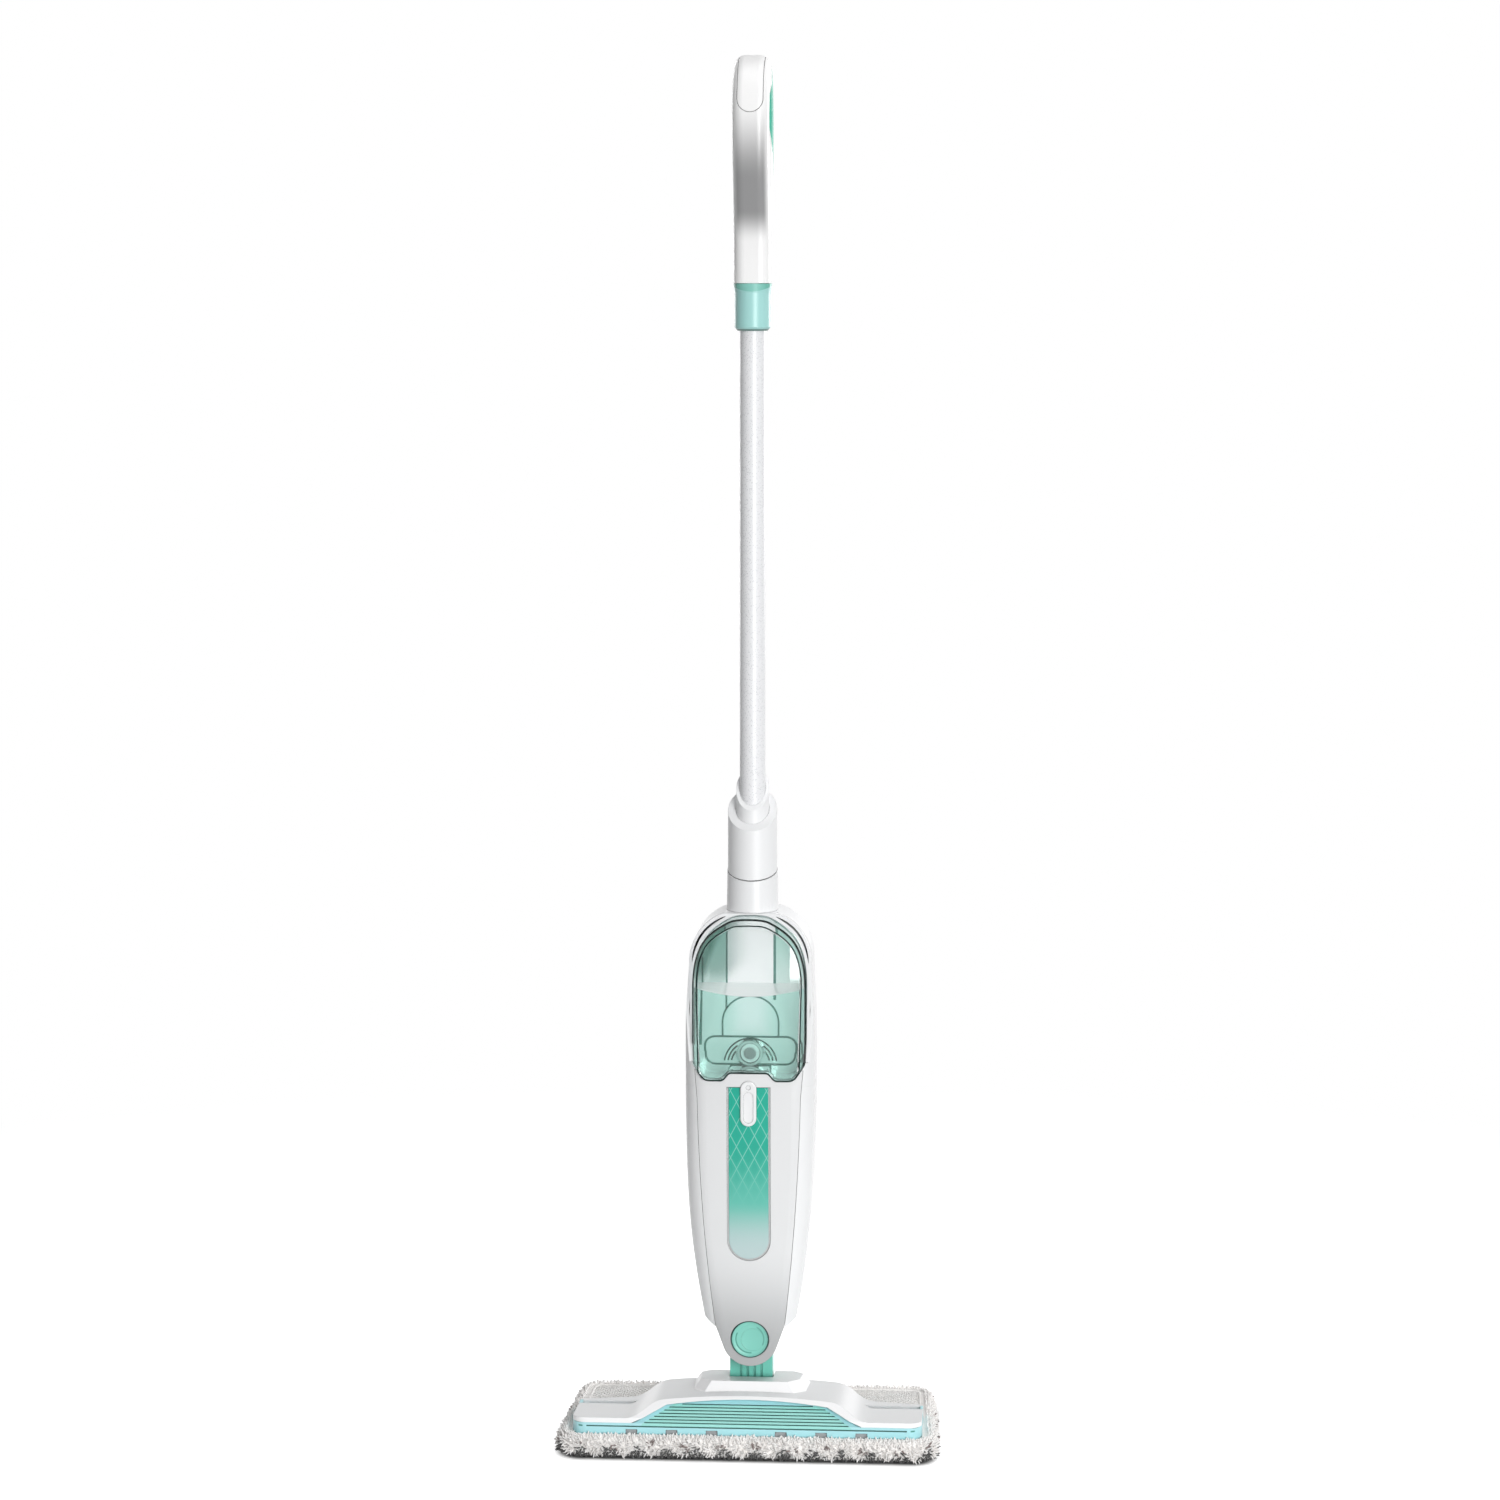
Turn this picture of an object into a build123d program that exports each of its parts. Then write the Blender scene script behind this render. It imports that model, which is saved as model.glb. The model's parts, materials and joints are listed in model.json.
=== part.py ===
from build123d import *
import os
from math import atan2, cos, degrees, radians, sin, sqrt, tan

# A pump-action steam mop standing upright on its pad, in millimetres.
# The floor is z = 0, the front faces -Y and the pad is centred on x = y = 0.

# Fits
RUN_GAP = 0.05
MOVE_GAP = 0.4
SEAT_GAP = 0.1
WALL = 2.5

# Pad
PAD_WIDTH = 332.0
PAD_REAR_WIDTH = 316.0
PAD_DEPTH = 176.0
PAD_HEIGHT = 19.0
PAD_CORNER = 24.0
PAD_RIM_SIDE = 16.0
PAD_RIM_FRONT = 12.0
PAD_RIM_REAR = 22.0
PILE = 9.0
PAD_MESH = 2.0
PAD_EDGE = 4.0

# Mop head
BASE_HALF = PAD_WIDTH / 2 - PAD_RIM_SIDE
BASE_REAR_HALF = PAD_REAR_WIDTH / 2 - PAD_RIM_SIDE
BASE_FRONT = -PAD_DEPTH / 2 + PAD_RIM_FRONT
BASE_REAR = PAD_DEPTH / 2 - PAD_RIM_REAR
BASE_CORNER = 12.0
BASE_LOW = PILE + 0.3
BASE_FLOOR = 3.0
FLOOR_TOP = BASE_LOW + BASE_FLOOR
SKIRT_TOP = 28.5
SKIRT_END = -8.0
PANEL_RISE = 17.0
PANEL_LEAN = 24.0
PANEL_FOOT = 98.0
PANEL_HEAD = 69.0
PANEL_SHOULDER = 4.0
GROOVES = 7
GROOVE_FIRST = 0.9
GROOVE_STEP = 3.45
GROOVE_HALF = 88.7
GROOVE_TAPER = 1.18
RIM = 4.8
COVER_DROP = 0.075
COVER_S_FOOT = 106.0
COVER_S_HEAD = 72.0
COVER_REAR = 46.0
COVER_REAR_HALF = 60.0
BOSS_RISE = 4.2
BOSS_FRONT = -32.0
BOSS_DIP = 0.09
BOSS_HALF = 42.0
BOSS_FLARE = 11.0
VENT_WIDTH = 13.0
VENT_STEP = 34.5
VENT_TOP = 23.0
GROOVE_WIDTH = 1.1
GROOVE_DEPTH = 1.0
LINE_HALF = 137.5
LINE_Z = 25.6
STEAM_HOLES = (-60, -30, 0, 30, 60)
SCREW_X = 84.0
SCREW_ROWS = (-46.0, -4.0)
TAPE_INNER = 20.0
TAPE_OUTER = 112.0
TAPE_FRONT = 20.0
TAPE_REAR = 46.0
TAPE_THICK = 1.2

# Swivel
PITCH_Z = 38.0
ROLL_Z = 91.0
ROLL_LIMIT = 40.0
NECK_HALF = 18.5
NECK_THICK = 20.0
BARREL_R = 12.0
PITCH_PIN_R = 4.0
ROLL_PIN_R = 5.0
POST_WIDTH = 10.0
SLOT_HALF = NECK_THICK / 2 + 0.5
BASE_WELL = -SLOT_HALF - 4.0
PLATE_SEAT = SLOT_HALF + 7.2
STEAM_R = 3.0
STEAM_Y = SLOT_HALF + 4.0

# Main body: level, half width, front and rear of each section
BODY_LEVELS = (
    (58.0, 40.0, -27.0, 21.0),
    (104.0, 41.0, -31.0, 25.5),
    (150.0, 47.5, -38.0, 31.0),
    (207.0, 53.0, -43.5, 36.0),
    (270.0, 55.0, -46.5, 39.0),
    (340.0, 55.5, -47.0, 40.0),
    (420.0, 55.5, -46.0, 38.5),
    (476.0, 55.5, -44.0, 36.0),
)
BODY_CORNER = 21.0
BODY_BULGE = 4.0
BODY_FLOOR_Z = 118.0
STEP_Z = 101.5
BODY_TOP = 462.0
TONGUE_R = 24.6
TONGUE_HALF = 30.0
MASK_DEPTH = 22.0
SEAM = 0.3
HOUSING_Z = 316.0
SCREW_SPOTS = ((-27.0, 136.0), (27.0, 136.0), (-37.0, 300.0), (37.0, 300.0))
SCREW_MEET = -12.0
SCREW_SEAT = 20.0
TOWER_HALF = 20.5
TOWER_LOW = 384.0
ARCH_HALF = 23.5
ARCH_LOW = 332.0
ARCH_SPRING = 366.0
BACKING_FRONT = -12.9

# Boiler and pump
PUMP_SHELF = 398.0
BELLOWS_LOW = PUMP_SHELF + 8
BELLOWS_TOP = 448.0
BELLOWS_R = 11.5
BELLOWS_FOLDS = 5
BOILER_Y = -4.0
BOILER_R = 23.5
BOILER_LOW = 150.0
BOILER_HIGH = 235.0
BRACKET_BACK = 27.0
BRACKET_Z = 192.5
BLOCK_BACK = 26.0
GLAND_FLAT = 41.5

# Tank
TANK_HALF = 48.5
TANK_LOW = 328.8
TANK_TOP = 460.4
TANK_BACK = -13.5
TANK_FRONT = -47.0
TANK_BEVEL = 5.5
TANK_BEVEL_DEPTH = 9.0
TANK_WALL = 2.0
TANK_SPRING = 67.0
TANK_ARCH = ((1.0, 0.0), (0.945, 0.45), (0.735, 0.765), (0.42, 0.94), (0.0, 1.0))
TANK_DOME = 300.0
LOBE_DROP = 6.8
LOBE_START = 16.5
LOBE_END = 38.5
TANK_GAP = 0.6
BAY_BACK = -8.0
CAP_Z = 342.0
CAP_R = 11.0
CAP_BORE_R = 8.6
SPIGOT_R = 4.0

# Strip, latch and release button on the front
STRIP_HALF = 17.0
CHANNEL_HALF = 18.8
CHANNEL_LOW = 163.0
CHANNEL_DEPTH = 1.6
STRIP_THICK = 1.0
LATCH_HALF = 6.9
LATCH_LOW = 283.0
LATCH_HIGH = 322.0
LATCH_TRAVEL = 6.0
LATCH_RISE = 2.6
BUTTON_R = 16.4
BUTTON_FRONT = -29.4
BUTTON_DISH = 60.0
LATCH_STEM_HALF = 2.2
LATCH_STEM_LOW = 298.0
LATCH_STEM_HIGH = 308.0
LATCH_BACK = -42.6
CATCH_HALF = 4.0
CATCH_FRONT = LATCH_BACK + 0.6
CATCH_REAR = LATCH_BACK + 4.0
SPRING_LOW = 268.0
SPRING_HIGH = 287.0

# Neck, tube and handle
TUBE_Y = 8.0
TUBE_R = 11.0
TUBE_WALL = 1.2
TUBE_LOW = 482.0
NECK_R = 22.3
SLEEVE_R = 21.2
BUSH_R = 14.2
SEAM_Z = 489.0
SLEEVE_FRONT_Z = 533.0
BUSH_FRONT_Z = 550.0
SEAM_TILT = 19.0
SLEEVE_TILT = 37.0
BUSH_TILT = 50.0
COLLAR_LOW = 959.0
COLLAR_R = 15.3
COLLAR_FLARE_R = 16.6
COLLAR_FLARE = 8.0
HANDLE_LOW = 999.0
HANDLE_TOP = 1190.0
HANDLE_HALF = 15.4
HANDLE_ROUND = 9.5
INLAY_HALF = 10.75
INLAY_LOW = 1141.0
INLAY_THICK = 3.0
INLAY_GAP = 0.45
GRIP_EDGE = ((40.0, 0.39), (30.0, 0.52), (26.0, 0.68), (19.0, 0.84), (6.0, 1.03))
HOOK_Z = 1014.0
HOOK_FACE = TUBE_Y + 21.0
HOOK_HALF = 8.0
HOOK_SEAT = 39.0
LOWER_HOOK_Z = 206.0
GLAND_Z = 290.0


# Simple solids
def block(x0, x1, y0, y1, z0, z1):
    return Pos((x0 + x1) / 2, (y0 + y1) / 2, (z0 + z1) / 2) * Box(x1 - x0, y1 - y0, z1 - z0)


def bar_x(radius, x0, x1, y, z):
    return Pos((x0 + x1) / 2, y, z) * Rot(0, 90, 0) * Cylinder(radius, x1 - x0)


def bar_y(radius, y0, y1, x, z):
    return Pos(x, (y0 + y1) / 2, z) * Rot(90, 0, 0) * Cylinder(radius, y1 - y0)


def bar_z(radius, z0, z1, x, y):
    return Pos(x, y, (z0 + z1) / 2) * Cylinder(radius, z1 - z0)


def across_y(face, front, rear):
    return extrude(Plane.XZ.offset(-rear) * face, rear - front)


def across_x(face, half):
    return extrude(Plane.YZ.offset(-half) * face, 2 * half)


def upward(face, low, high):
    return extrude(Plane.XY.offset(low) * face, high - low)


def polygon(*points):
    return make_face(Polyline(*points, close=True))


def group(*solids):
    return Compound(children=list(solids))


def hose(points, bend, radius, bore):
    path = FilletPolyline(*points, radius=bend)
    ring = Circle(radius) - Circle(bore)
    return sweep(Plane(origin=path @ 0, z_dir=path % 0) * ring, path=path)


def rod(points, bend, radius):
    path = FilletPolyline(*points, radius=bend)
    return sweep(Plane(origin=path @ 0, z_dir=path % 0) * Circle(radius), path=path)


def coil(radius, wire, turns, length):
    path = Helix(pitch=length / turns, height=length, radius=radius)
    return sweep(Plane(origin=path @ 0, z_dir=path % 0) * Circle(wire), path=path)


# Outlines of the mop head
def pad_plan():
    front = -PAD_DEPTH / 2
    rear = PAD_DEPTH / 2
    wide = PAD_WIDTH / 2
    narrow = PAD_REAR_WIDTH / 2
    corners = ((-wide, front), (wide, front), (narrow, rear), (-narrow, rear))
    return make_face(FilletPolyline(*corners, radius=PAD_CORNER, close=True))


def base_plan():
    corners = (
        (-BASE_HALF, BASE_FRONT), (BASE_HALF, BASE_FRONT),
        (BASE_REAR_HALF, BASE_REAR), (-BASE_REAR_HALF, BASE_REAR),
    )
    return make_face(FilletPolyline(*corners, radius=BASE_CORNER, close=True))


def cover_plan(inset):
    corners = (
        (-BASE_HALF, BASE_FRONT), (BASE_HALF, BASE_FRONT),
        (BASE_HALF, 0.0), (COVER_S_FOOT, 10.0),
        (COVER_REAR_HALF, COVER_REAR), (-COVER_REAR_HALF, COVER_REAR),
        (-COVER_S_FOOT, 10.0), (-BASE_HALF, 0.0),
    )
    radii = (BASE_CORNER, BASE_CORNER, 8.0, 30.0, 12.0, 12.0, 30.0, 8.0)
    face = make_face(FilletPolyline(*corners, radius=radii, close=True))
    if inset:
        face = offset(face, -inset)
    return face


def cover_block(inset):
    half = BASE_HALF - inset
    end = SKIRT_TOP + RIM - inset
    shoulder = SKIRT_TOP + PANEL_RISE + 1.6 - inset
    crown = SKIRT_TOP + PANEL_RISE + RIM - inset
    foot = COVER_S_FOOT - inset
    head = COVER_S_HEAD - inset
    low = BASE_LOW
    edges = [
        Polyline((-foot, end), (-half, end), (-half, low), (half, low), (half, end), (foot, end)),
        Spline([(foot, end), (head, shoulder)], tangents=[(-1, 0), (-1, 0.1)]),
        ThreePointArc((head, shoulder), (0, crown), (-head, shoulder)),
        Spline([(-head, shoulder), (-foot, end)], tangents=[(-1, -0.1), (-1, 0)]),
    ]
    front_face = Plane.XZ.offset(-BASE_FRONT + 6) * make_face(edges)
    front_view = extrude(front_face, amount=140, dir=(0, 1, -COVER_DROP))
    front = BASE_FRONT + inset
    lip = BASE_FRONT + PANEL_LEAN
    crest = SKIRT_TOP + PANEL_RISE + RIM - inset
    side_face = polygon(
        (front, low), (front, SKIRT_TOP + RIM - 0.6 * inset), (lip - 2 + inset, crest),
        (20 - inset, crest), (27 - inset, PITCH_Z - 7 - inset),
        (COVER_REAR - inset, PITCH_Z - 17 - inset), (COVER_REAR - inset, low),
    )
    side_view = across_x(side_face, BASE_HALF)
    top_view = upward(cover_plan(inset), low, 80)
    return front_view & side_view & top_view


def boss_block(inset):
    top = SKIRT_TOP + PANEL_RISE + RIM + BOSS_RISE - inset
    low = PITCH_Z
    levels = []
    for z, half, front, rear in (
        (low, BOSS_HALF + BOSS_FLARE, -43.0, 24.0),
        (top, BOSS_HALF, BOSS_FRONT, 16.0),
    ):
        h = half - inset
        f = front + inset
        r = rear - inset
        cut = 9.0
        face = polygon(
            (-h + cut, f), (h - cut, f), (h, f + 1.6 * cut), (h, r - cut),
            (h - cut, r), (-h + cut, r), (-h, r - cut), (-h, f + 1.6 * cut),
        )
        levels.append(Plane.XY.offset(z) * face)
    lid = polygon((-80, 0), (-80, top), (BOSS_FRONT, top), (60, top - BOSS_DIP * (60 - BOSS_FRONT)), (60, 0))
    return loft(levels, ruled=True) & across_x(lid, 80)


def panel_face():
    low = SKIRT_TOP
    top = SKIRT_TOP + PANEL_RISE
    side = top - PANEL_SHOULDER
    edges = [
        Polyline((-PANEL_HEAD, side), (-PANEL_FOOT, low), (PANEL_FOOT, low), (PANEL_HEAD, side)),
        ThreePointArc((PANEL_HEAD, side), (0, top), (-PANEL_HEAD, side)),
    ]
    return make_face(edges)


def vent_centres():
    first = 0.86 * VENT_STEP
    right = [first + VENT_STEP * i for i in range(3)]
    return [-x for x in reversed(right)] + right


# Mop head pieces
def make_pad():
    body = upward(pad_plan(), 0, PAD_HEIGHT)
    top_edges = body.faces().sort_by(Axis.Z)[-1].edges()
    body = fillet(top_edges, PAD_EDGE)
    room = offset(base_plan(), 0.4)
    roof = PAD_HEIGHT - PAD_MESH
    body -= upward(room, PILE, roof)
    open_half = block(-PAD_WIDTH, PAD_WIDTH, -PAD_DEPTH, 12, PILE, PAD_HEIGHT + 5)
    rear_half = upward(offset(cover_plan(0), 0.6), PILE, PAD_HEIGHT + 5)
    body -= upward(room, PILE, PAD_HEIGHT + 5) & open_half
    body -= rear_half
    return body


def panel_points():
    length = sqrt(PANEL_LEAN ** 2 + PANEL_RISE ** 2)
    along = (PANEL_LEAN / length, PANEL_RISE / length)
    inward = (along[1], -along[0])
    return length, along, inward


def make_base():
    length, along, inward = panel_points()
    body = upward(base_plan(), BASE_LOW, FLOOR_TOP)
    ring = cover_plan(0) - cover_plan(WALL)
    wall = upward(ring, BASE_LOW, SKIRT_TOP)
    body += wall & block(-PAD_WIDTH, PAD_WIDTH, BASE_FRONT - 5, SKIRT_END, 0, 80)
    foot = (BASE_FRONT, SKIRT_TOP)
    end = (foot[0] + along[0] * (length + 5), foot[1] + along[1] * (length + 5))
    slab = polygon(
        (foot[0], foot[1] - 1.0), foot, end,
        (end[0] + inward[0] * WALL, end[1] + inward[1] * WALL),
        (foot[0] + inward[0] * WALL + 1.0, foot[1] + inward[1] * WALL - 0.4),
    )
    panel = across_x(slab, BASE_HALF) & across_y(panel_face(), BASE_FRONT - 10, 0)
    body += panel
    for i in range(GROOVES):
        reach = GROOVE_FIRST + GROOVE_STEP * i
        half = GROOVE_HALF - GROOVE_TAPER * reach
        if i == GROOVES - 1:
            half = half - 7
        y = foot[0] + along[0] * reach
        z = foot[1] + along[1] * reach
        slope = degrees(atan2(along[1], along[0]))
        body -= Pos(0, y, z) * Rot(slope, 0, 0) * Box(2 * half, GROOVE_WIDTH, 2 * GROOVE_DEPTH)
    low = LINE_Z - GROOVE_WIDTH / 2
    body -= block(-LINE_HALF, LINE_HALF, BASE_FRONT - 1, BASE_FRONT + GROOVE_DEPTH, low, low + GROOVE_WIDTH)
    for x in vent_centres():
        half = VENT_WIDTH / 2
        notch = polygon((x - half, 0), (x + half, 0), (x + half - 1.6, VENT_TOP), (x - half + 1.6, VENT_TOP))
        body -= across_y(notch, BASE_FRONT - 1, BASE_FRONT + WALL + 0.5) & block(
            -PAD_WIDTH, PAD_WIDTH, BASE_FRONT - 1, 0, FLOOR_TOP, 60)
    for x in STEAM_HOLES:
        body -= bar_z(2.5, 0, FLOOR_TOP + 1, x, -48)
    for x in (-1, 1):
        body -= strip_block(x, 0.1)
        for y in SCREW_ROWS:
            body -= bar_z(1.9, 0, 40, x * SCREW_X, y)
            body -= bar_z(3.7, 0, BASE_LOW + 1.4, x * SCREW_X, y)
    return body


def strip_block(side, grow):
    x0 = TAPE_INNER - grow
    x1 = TAPE_OUTER + grow
    low = min(side * x0, side * x1)
    high = max(side * x0, side * x1)
    top = BASE_LOW + TAPE_THICK + grow
    return block(low, high, TAPE_FRONT - grow, TAPE_REAR + grow, BASE_LOW - 0.001, top)


def make_hook_strips():
    return group(strip_block(-1, 0), strip_block(1, 0))


def make_cover():
    body = cover_block(0) + boss_block(0)
    body -= cover_block(WALL) + boss_block(WALL)
    body -= block(-PAD_WIDTH, PAD_WIDTH, BASE_FRONT - 5, SKIRT_END, 0, SKIRT_TOP)
    body -= block(-PAD_WIDTH, PAD_WIDTH, BASE_FRONT - 5, PAD_DEPTH, 0, FLOOR_TOP)
    body -= across_y(offset(panel_face(), 0.5), BASE_FRONT - 10, -20)
    slot = NECK_HALF + 0.8
    body -= block(-slot, slot, -NECK_THICK / 2 - 1, 90, 0, 90)
    solid = cover_block(0) + boss_block(0)
    for x in (-SCREW_X, SCREW_X):
        for y in SCREW_ROWS:
            post = bar_z(4.5, FLOOR_TOP, 60, x, y) & solid
            body += post
            body -= bar_z(1.5, 0, FLOOR_TOP + 14, x, y)
    return body


def make_head_screws():
    solids = []
    for x in (-SCREW_X, SCREW_X):
        for y in SCREW_ROWS:
            shank = bar_z(1.4, BASE_LOW + 0.2, FLOOR_TOP + 12, x, y)
            head = bar_z(3.4, BASE_LOW + 0.2, BASE_LOW + 1.4 - 0.1, x, y)
            solids.append(shank + head)
    return group(*solids)


def make_vents():
    solids = []
    for x in vent_centres():
        half = VENT_WIDTH / 2 + 2.5
        solids.append(block(
            x - half, x + half, BASE_FRONT + WALL, BASE_FRONT + WALL + 2, FLOOR_TOP, VENT_TOP + 2))
    return group(*solids)


def make_hinge_posts():
    solids = []
    inner = NECK_HALF + 1.0
    for side in (-1, 1):
        x0 = min(side * inner, side * (inner + POST_WIDTH))
        x1 = x0 + POST_WIDTH
        post = block(x0, x1, -10, 10, FLOOR_TOP, PITCH_Z)
        post += bar_x(10, x0, x1, 0, PITCH_Z)
        post -= bar_x(PITCH_PIN_R + RUN_GAP, x0 - 1, x1 + 1, 0, PITCH_Z)
        solids.append(post)
    return group(*solids)


def make_pitch_pin():
    reach = NECK_HALF + 1.0 + POST_WIDTH + 2
    pin = bar_x(PITCH_PIN_R, -reach, reach, 0, PITCH_Z)
    pin -= bar_x(2.0, 0, reach + 1, 0, PITCH_Z)
    return pin


def make_manifold():
    low = FLOOR_TOP
    tray = block(-70, 70, -56, -36, low, low + 8)
    tray -= block(-68, 68, -54, -38, low, low + 6)
    tray += bar_z(4, low + 4, low + 12, NECK_HALF + POST_WIDTH + 12, -46)
    tray -= bar_z(2.4, low, low + 13, NECK_HALF + POST_WIDTH + 12, -46)
    return tray


def make_head_hose():
    x = NECK_HALF + 1.0 + POST_WIDTH + 2.4
    turn = NECK_HALF + POST_WIDTH + 12
    points = ((x, 0, PITCH_Z), (turn, 0, PITCH_Z), (turn, -46, PITCH_Z), (turn, -46, FLOOR_TOP + 12.2))
    return hose(points, 6.0, 3.6, 2.2)


# Swivel pieces
def make_swivel_neck():
    half = NECK_THICK / 2
    body = bar_x(BARREL_R, -NECK_HALF, NECK_HALF, 0, PITCH_Z)
    body += block(-NECK_HALF, NECK_HALF, -half, half, PITCH_Z, ROLL_Z)
    body += bar_y(NECK_HALF, -half, half, 0, ROLL_Z)
    for x in (-9.0, -3.0, 3.0, 9.0):
        body -= block(x - 0.9, x + 0.9, -half - 1, -half + 0.9, PITCH_Z + 12, ROLL_Z - 12)
    body -= bar_x(PITCH_PIN_R + RUN_GAP, -40, 40, 0, PITCH_Z)
    body -= bar_y(ROLL_PIN_R + RUN_GAP, -40, 40, 0, ROLL_Z)
    body -= bar_z(2.6, PITCH_Z, ROLL_Z, 0, 0)
    return body


def make_roll_pin():
    front = -NECK_THICK / 2 - 0.5 - 4.0
    rear = NECK_THICK / 2 + 0.5 + 7.0
    pin = bar_y(ROLL_PIN_R, front, rear, 0, ROLL_Z)
    pin -= bar_y(2.4, front - 1, front + 9, 0, ROLL_Z)
    pin -= bar_y(2.4, -2, rear + 1, 0, ROLL_Z)
    return pin


# Outlines of the main body
def body_section(level, inset):
    z, half, front, rear = level
    w = half - inset
    f = front + inset
    r = rear - inset
    edges = [
        ThreePointArc((-w, f + BODY_BULGE), (0, f), (w, f + BODY_BULGE)),
        Line((w, f + BODY_BULGE), (w, r - BODY_BULGE)),
        ThreePointArc((w, r - BODY_BULGE), (0, r), (-w, r - BODY_BULGE)),
        Line((-w, r - BODY_BULGE), (-w, f + BODY_BULGE)),
    ]
    face = make_face(edges)
    return Plane.XY.offset(z) * fillet(face.vertices(), BODY_CORNER - inset)


def body_loft(inset):
    return loft([body_section(level, inset) for level in BODY_LEVELS])


def rear_outline():
    right = [
        Polyline((0, STEP_Z), (30.5, STEP_Z), (39.8, STEP_Z + 7)),
        ThreePointArc((39.8, STEP_Z + 7), (52.6, 204), (55.5, 300)),
        ThreePointArc((55.5, 300), (55.2, 362), (52.5, 418)),
        ThreePointArc((52.5, 418), (45.5, 445), (23, BODY_TOP)),
        Line((23, BODY_TOP), (0, BODY_TOP)),
    ]
    return right


def tank_outline(inset):
    low = TANK_LOW + inset
    w = TANK_HALF - inset
    top = TANK_TOP - inset
    lobe = low - LOBE_DROP
    lower = FilletPolyline(
        (0, low), (LOBE_START + 0.45 * inset, low), (LOBE_START + 6 + 0.45 * inset, lobe),
        (LOBE_END - 0.52 * inset, lobe), (w - 0.8, low + 6.5 - 0.69 * inset), (w, low + 24 - inset),
        (w, TANK_LOW + TANK_SPRING), radius=(4, 5, 9, 9, 12),
    )
    return mirrored_face([lower, tank_arch(w, TANK_LOW + TANK_SPRING, top)])


def tank_arch(half, spring, top):
    points = [(half * share, spring + (top - spring) * lift) for share, lift in TANK_ARCH]
    return Spline(points, tangents=[(0, 1), (-1, 0)])


def mirrored_face(right):
    left = [mirror(edge, about=Plane.YZ) for edge in right]
    return make_face(Curve() + right + left)


def mask_outline():
    angle = radians(20)
    tangent = (TONGUE_R * cos(angle), ROLL_Z - TONGUE_R * sin(angle))
    right = [
        ThreePointArc(
            (0, ROLL_Z - TONGUE_R),
            (TONGUE_R * sin(radians(35)), ROLL_Z - TONGUE_R * cos(radians(35))),
            tangent,
        ),
        Polyline(tangent, (TONGUE_HALF, STEP_Z)),
        ThreePointArc((TONGUE_HALF, STEP_Z), (39.5, 200), (44.5, 306)),
        Polyline((44.5, 306), (46.6, TANK_LOW + 2), (0, TANK_LOW + 2)),
    ]
    return mirrored_face(right)


def knuckle_slot():
    reach = NECK_HALF + 0.6
    a = radians(ROLL_LIMIT + 1)
    top = (reach * cos(a), ROLL_Z + reach * sin(a))
    drop = 60.0
    foot = (top[0] + drop * tan(a), top[1] - drop)
    wedge = polygon((-top[0], top[1]), top, foot, (-foot[0], foot[1]))
    cut = across_y(wedge, -SLOT_HALF, SLOT_HALF)
    return cut + bar_y(reach, -SLOT_HALF, SLOT_HALF, 0, ROLL_Z)


def body_solids():
    outer = body_loft(0)
    inner = body_loft(WALL)
    rear_face = mirrored_face(rear_outline())
    mask_face = mask_outline()
    far = 80
    bay = across_y(tank_outline(-TANK_GAP), -far, BAY_BACK)
    bay_skin = across_y(tank_outline(-TANK_GAP - WALL), -far, BAY_BACK + WALL)
    mask_zone = across_y(mask_face, -far, -SLOT_HALF)
    rear_block = outer & across_y(rear_face, -far, far)
    whole = rear_block + (outer & mask_zone)
    cavity = inner & across_y(offset(rear_face, -WALL), -far, far)
    cavity &= block(-far, far, -far, far, BODY_FLOOR_Z, 600)
    cavity -= bay_skin
    shell = whole - cavity - bay - knuckle_slot()
    return outer, whole, shell, mask_zone, mask_face


def channel_face(half, low):
    sides = polygon((-half, low + half), (half, low + half), (half, 340), (-half, 340))
    return sides + Pos(0, low + half) * Circle(half)


def slotted_face(half, low, high):
    return Pos(0, (low + high) / 2) * Rot(0, 0, 90) * SlotOverall(high - low, 2 * half)


def make_front_shell(whole, shell, mask_face):
    body = shell & across_y(offset(mask_face, -SEAM), -80, -SLOT_HALF)
    ring = offset(mask_face, -SEAM) - offset(mask_face, -SEAM - WALL)
    skirt = across_y(ring, -80, TANK_FRONT + MASK_DEPTH) & whole
    skirt -= across_y(tank_outline(-TANK_GAP), -80, BAY_BACK)
    body += skirt & block(-80, 80, -80, 0, BODY_FLOOR_Z, 600)
    recess = across_y(channel_face(CHANNEL_HALF, CHANNEL_LOW), -80, 0) - body_loft(CHANNEL_DEPTH)
    recess &= block(-80, 80, -80, 0, 100, TANK_LOW - 12.0)
    body -= recess
    body -= bar_y(BUTTON_R + MOVE_GAP, -80, BASE_WELL, 0, ROLL_Z)
    body -= bar_y(ROLL_PIN_R + SEAT_GAP, -80, 0, 0, ROLL_Z)
    stem_low = LATCH_STEM_LOW - LATCH_TRAVEL - MOVE_GAP
    stem = slotted_face(LATCH_STEM_HALF + MOVE_GAP, stem_low, LATCH_STEM_HIGH + MOVE_GAP)
    body -= across_y(stem, -80, -30)
    catch = CATCH_HALF + MOVE_GAP
    body -= block(-catch, catch, CATCH_FRONT - MOVE_GAP, CATCH_REAR + MOVE_GAP, 310, 340)
    body += block(-10, 10, LATCH_BACK - 1.4, LATCH_BACK + 6.4, SPRING_LOW - 2.5, SPRING_LOW)
    for x, z in SCREW_SPOTS:
        post = bar_y(4.0, -80, SCREW_MEET, x, z) & whole
        body += post - across_y(channel_face(CHANNEL_HALF, CHANNEL_LOW), -80, -60)
        body -= bar_y(1.5, SCREW_MEET - 12, SCREW_MEET + 1, x, z)
    return body


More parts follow.
